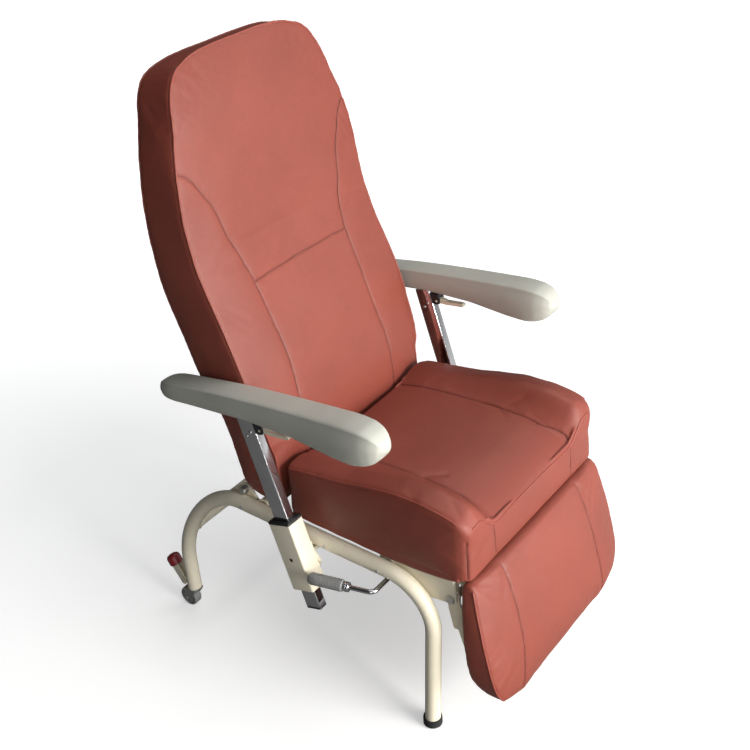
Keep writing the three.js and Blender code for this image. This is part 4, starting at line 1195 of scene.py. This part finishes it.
for name, cushion in CUSHIONS.items():
    cover, body = covers[name], cushion["body"]
    bake(cover, "SMOOTH", factor=0.5, iterations=1)
    bake(cover, "SUBSURF", levels=1, render_levels=1)
    ripple(cover, cushion["seed"])
    seams = groove(cover, cushion["lines"], crease=(0.0018, 0.0019),
                   valley=(cushion["valley"], 0.0095), gather=0.00012)
    groove(cover, cushion["folds"], crease=(0.0002, 0.003), valley=(0.0009, 0.0070))
    cover.data.materials.clear()
    cover.data.materials.append(FINISHES["upholstery"])
    cover.data.polygons.foreach_set("use_smooth", [True] * len(cover.data.polygons))
    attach(cover, body)
    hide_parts(*cushion["replaces"])
    seam_line(name.replace("_cover", "_seams"), cover, seams, body)
    stitches(name.replace("_cover", "_stitching"), cover, seams, body)


# -------------------------------------------------------------- edge welts
def back_outline(depth, offset_y, bottom, fall=False, shoulder=1150):
    """up the right edge of the back, over the top and down the left"""
    crown = BACK_HALF[-1][0] - shoulder
    z = np.concatenate([np.linspace(bottom, shoulder, 160),
                        shoulder + crown * np.sin(np.linspace(0, math.pi / 2, 30))[1:]])
    half = monotone(BACK_HALF, z) - 2.6
    y = monotone(depth, z) + offset_y
    if fall:
        z = np.array([height - back_fall(height) for height in z])
    return list(zip(-half, y, z)) + list(zip(half, y, z))[::-1]


back, seat, legrest = covers.values()
welt("back_front_welt", back, back_outline(BACK_FRONT, 2.0, 392), "backrest", 0.0022)
welt("back_rear_welt", back, back_outline(BACK_REAR, -2.0, 400, fall=True), "backrest", 0.0022)
for side, sign in SIDES:
    welt(f"seat_side_welt_{side}", seat,
         [(sign * (value_at(SEAT_HALF, y) - 3.5), y, value_at(SEAT_SIDE, y) - 6)
          for y in np.linspace(-326, 36, 120)], "frame", 0.0016)
    welt(f"legrest_side_welt_{side}", legrest,
         [(sign * (value_at(LEG_HALF, z) - 2), value_at(LEG_FRONT, z) + 12, z)
          for z in np.linspace(112, 352, 100)], "legrest", 0.0018)
welt("seat_front_welt", seat,
     [(x, -346, float(seat_top(x, -345)) - 2.5) for x in np.linspace(-206, 206, 120)],
     "frame", 0.0016)

# the cover is turned down over the edge of the seat board on each side, just above the rail
TURN_TOP = 376.0
TURN_BOTTOM = [              # (y, z)
    (-330, 366), (-300, 362), (-262, 357.5), (-200, 355.5), (-100, 358.6), (0, 362.4), (40, 364)]


def turn_section(y):
    half = value_at(SEAT_HALF, y) + 0.6
    low = value_at(TURN_BOTTOM, y) + 0.4 * math.sin(y / 9.0)
    return [(half - 6.4, TURN_TOP), (half - 6.4, low + 2.4), (half - 5.2, low + 0.7),
            (half - 3.4, low), (half - 1.6, low + 0.6), (half - 0.5, low + 2.2),
            (half + 0.1, low + 5), (half, (low + TURN_TOP) / 2), (half - 0.6, TURN_TOP)]


for side, sign in SIDES:
    rings = [[(sign * x, y, z) for x, z in turn_section(y)] for y in np.linspace(-328, 38, 130)]
    piece(f"seat_cover_turn_{side}", skin(rings), "upholstery", "frame", sharp=80)


# ----------------------------------------------------------------------- stage
def floor_material():
    m = Material("pale_floor")
    m.finish(Base_Color=m.mix(m.noise(scale=1.2), (0.80, 0.80, 0.79), (0.84, 0.84, 0.83)),
             Roughness=0.7)
    # the camera sees a floor that glows more with distance, so that it reads as pale paper
    distance = m.node("ShaderNodeVectorMath", {"operation": "LENGTH"}, {0: m.coords})
    glow = m.node("ShaderNodeEmission",
                  Strength=m.span(distance.outputs["Value"], over=(1.0, 3.2), to=(0.40, 1.0)))
    paper = m.node("ShaderNodeAddShader", sockets={0: m.shader.outputs[0], 1: glow.outputs[0]})
    # the chair sees a floor that is dim towards the left and front, rising from 0.1 to 1.6 m
    # along (0.72, -0.69) to full brightness
    side = m.node("ShaderNodeVectorMath", {"operation": "DOT_PRODUCT"},
                  {0: m.coords, 1: (0.72, -0.69, 0.0)})
    seen = m.mix(m.span(side.outputs["Value"], over=(0.1, 1.6)),
                 (0.19, 0.19, 0.185), (0.80, 0.80, 0.79))
    flagged = m.node("ShaderNodeBsdfDiffuse", sockets={0: seen})
    rays = m.node("ShaderNodeLightPath")
    pick = m.node("ShaderNodeMixShader", sockets={
        0: rays.outputs["Is Camera Ray"], 1: flagged.outputs[0], 2: paper.outputs[0]})
    feed(m.tree, m.tree.nodes["Material Output"].inputs[0], pick.outputs[0])
    return m.material


def stage_floor(half=20):
    mesh = bpy.data.meshes.new("floor")
    mesh.from_pydata([(-half, -half, 0), (half, -half, 0), (half, half, 0), (-half, half, 0)],
                     [], [(0, 1, 2, 3)])
    floor = add_object("floor", mesh)
    floor.location.z = -0.0006
    mesh.materials.append(floor_material())


def area_light(name, at, target, size, power, color=(1, 1, 1)):
    light = bpy.data.lights.new(name, "AREA")
    light.shape = "RECTANGLE"
    light.size, light.size_y = size
    light.energy = power
    light.color = color
    obj = add_object(name, light)
    obj.location = at
    aim = Vector(target) - Vector(at)
    obj.rotation_euler = aim.to_track_quat("-Z", "Y").to_euler()


def studio_world():
    """a pale sky, bright in front of the chair and dim behind it"""
    world = bpy.data.worlds.new("studio")
    scene.world = world
    world.use_nodes = True
    tree = world.node_tree
    bright = Vector((0.35, -0.9, 0.25)).normalized()
    place = add_node(tree, "ShaderNodeTexCoord").outputs["Generated"]
    facing = add_node(tree, "ShaderNodeVectorMath", {"operation": "DOT_PRODUCT"},
                      {0: place, 1: bright}).outputs["Value"]
    strength = add_node(tree, "ShaderNodeMapRange", {"interpolation_type": "SMOOTHSTEP"},
                        Value=facing, From_Min=-0.10, From_Max=0.95, To_Min=0.045, To_Max=1.0)
    background = tree.nodes["Background"]
    background.inputs[0].default_value = (0.94, 0.96, 1.0, 1)
    feed(tree, background.inputs[1], strength.outputs[0])


def add_camera():
    data = bpy.data.cameras.new("camera")
    camera = add_object("camera", data)
    yaw, pitch, roll = 0.9013960, 0.5441863, -0.0740686    # yaw turns from +y towards +x
    forward = Vector((math.sin(yaw) * math.cos(pitch), math.cos(yaw) * math.cos(pitch),
                      -math.sin(pitch)))
    level = Vector((math.cos(yaw), -math.sin(yaw), 0))
    upright = level.cross(forward)
    across = math.cos(roll) * level + math.sin(roll) * upright
    upward = -math.sin(roll) * level + math.cos(roll) * upright
    position = (-1.4830024, (-1170.2484 + SHIFT_Y) * MM, 1.6925502)
    matrix = Matrix.Identity(4)
    for column, vector in enumerate((across, upward, -forward, position)):
        for row in range(3):
            matrix[row][column] = vector[row]
    camera.matrix_world = matrix
    data.sensor_width = 36
    data.sensor_fit = "HORIZONTAL"
    data.lens = 55.9309728
    data.shift_x = 0.00230108
    data.shift_y = 0.00696848
    data.clip_end = 100
    scene.camera = camera


stage_floor()
area_light("key", at=(-0.15, -3.4, 1.15), target=(0, 0, 0.62), size=(1.9, 1.5), power=188,
           color=(1.0, 0.98, 0.95))
area_light("fill", at=(-3.0, -2.4, 1.3), target=(0, 0, 0.5), size=(1.6, 1.6), power=15,
           color=(0.97, 0.98, 1.0))
area_light("top", at=(1.0, 0.0, 3.3), target=(0, 0, 0.4), size=(1.8, 1.8), power=30)
studio_world()
scene.view_settings.view_transform = "Standard"
scene.view_settings.look = "None"
add_camera()

bpy.context.view_layer.update()
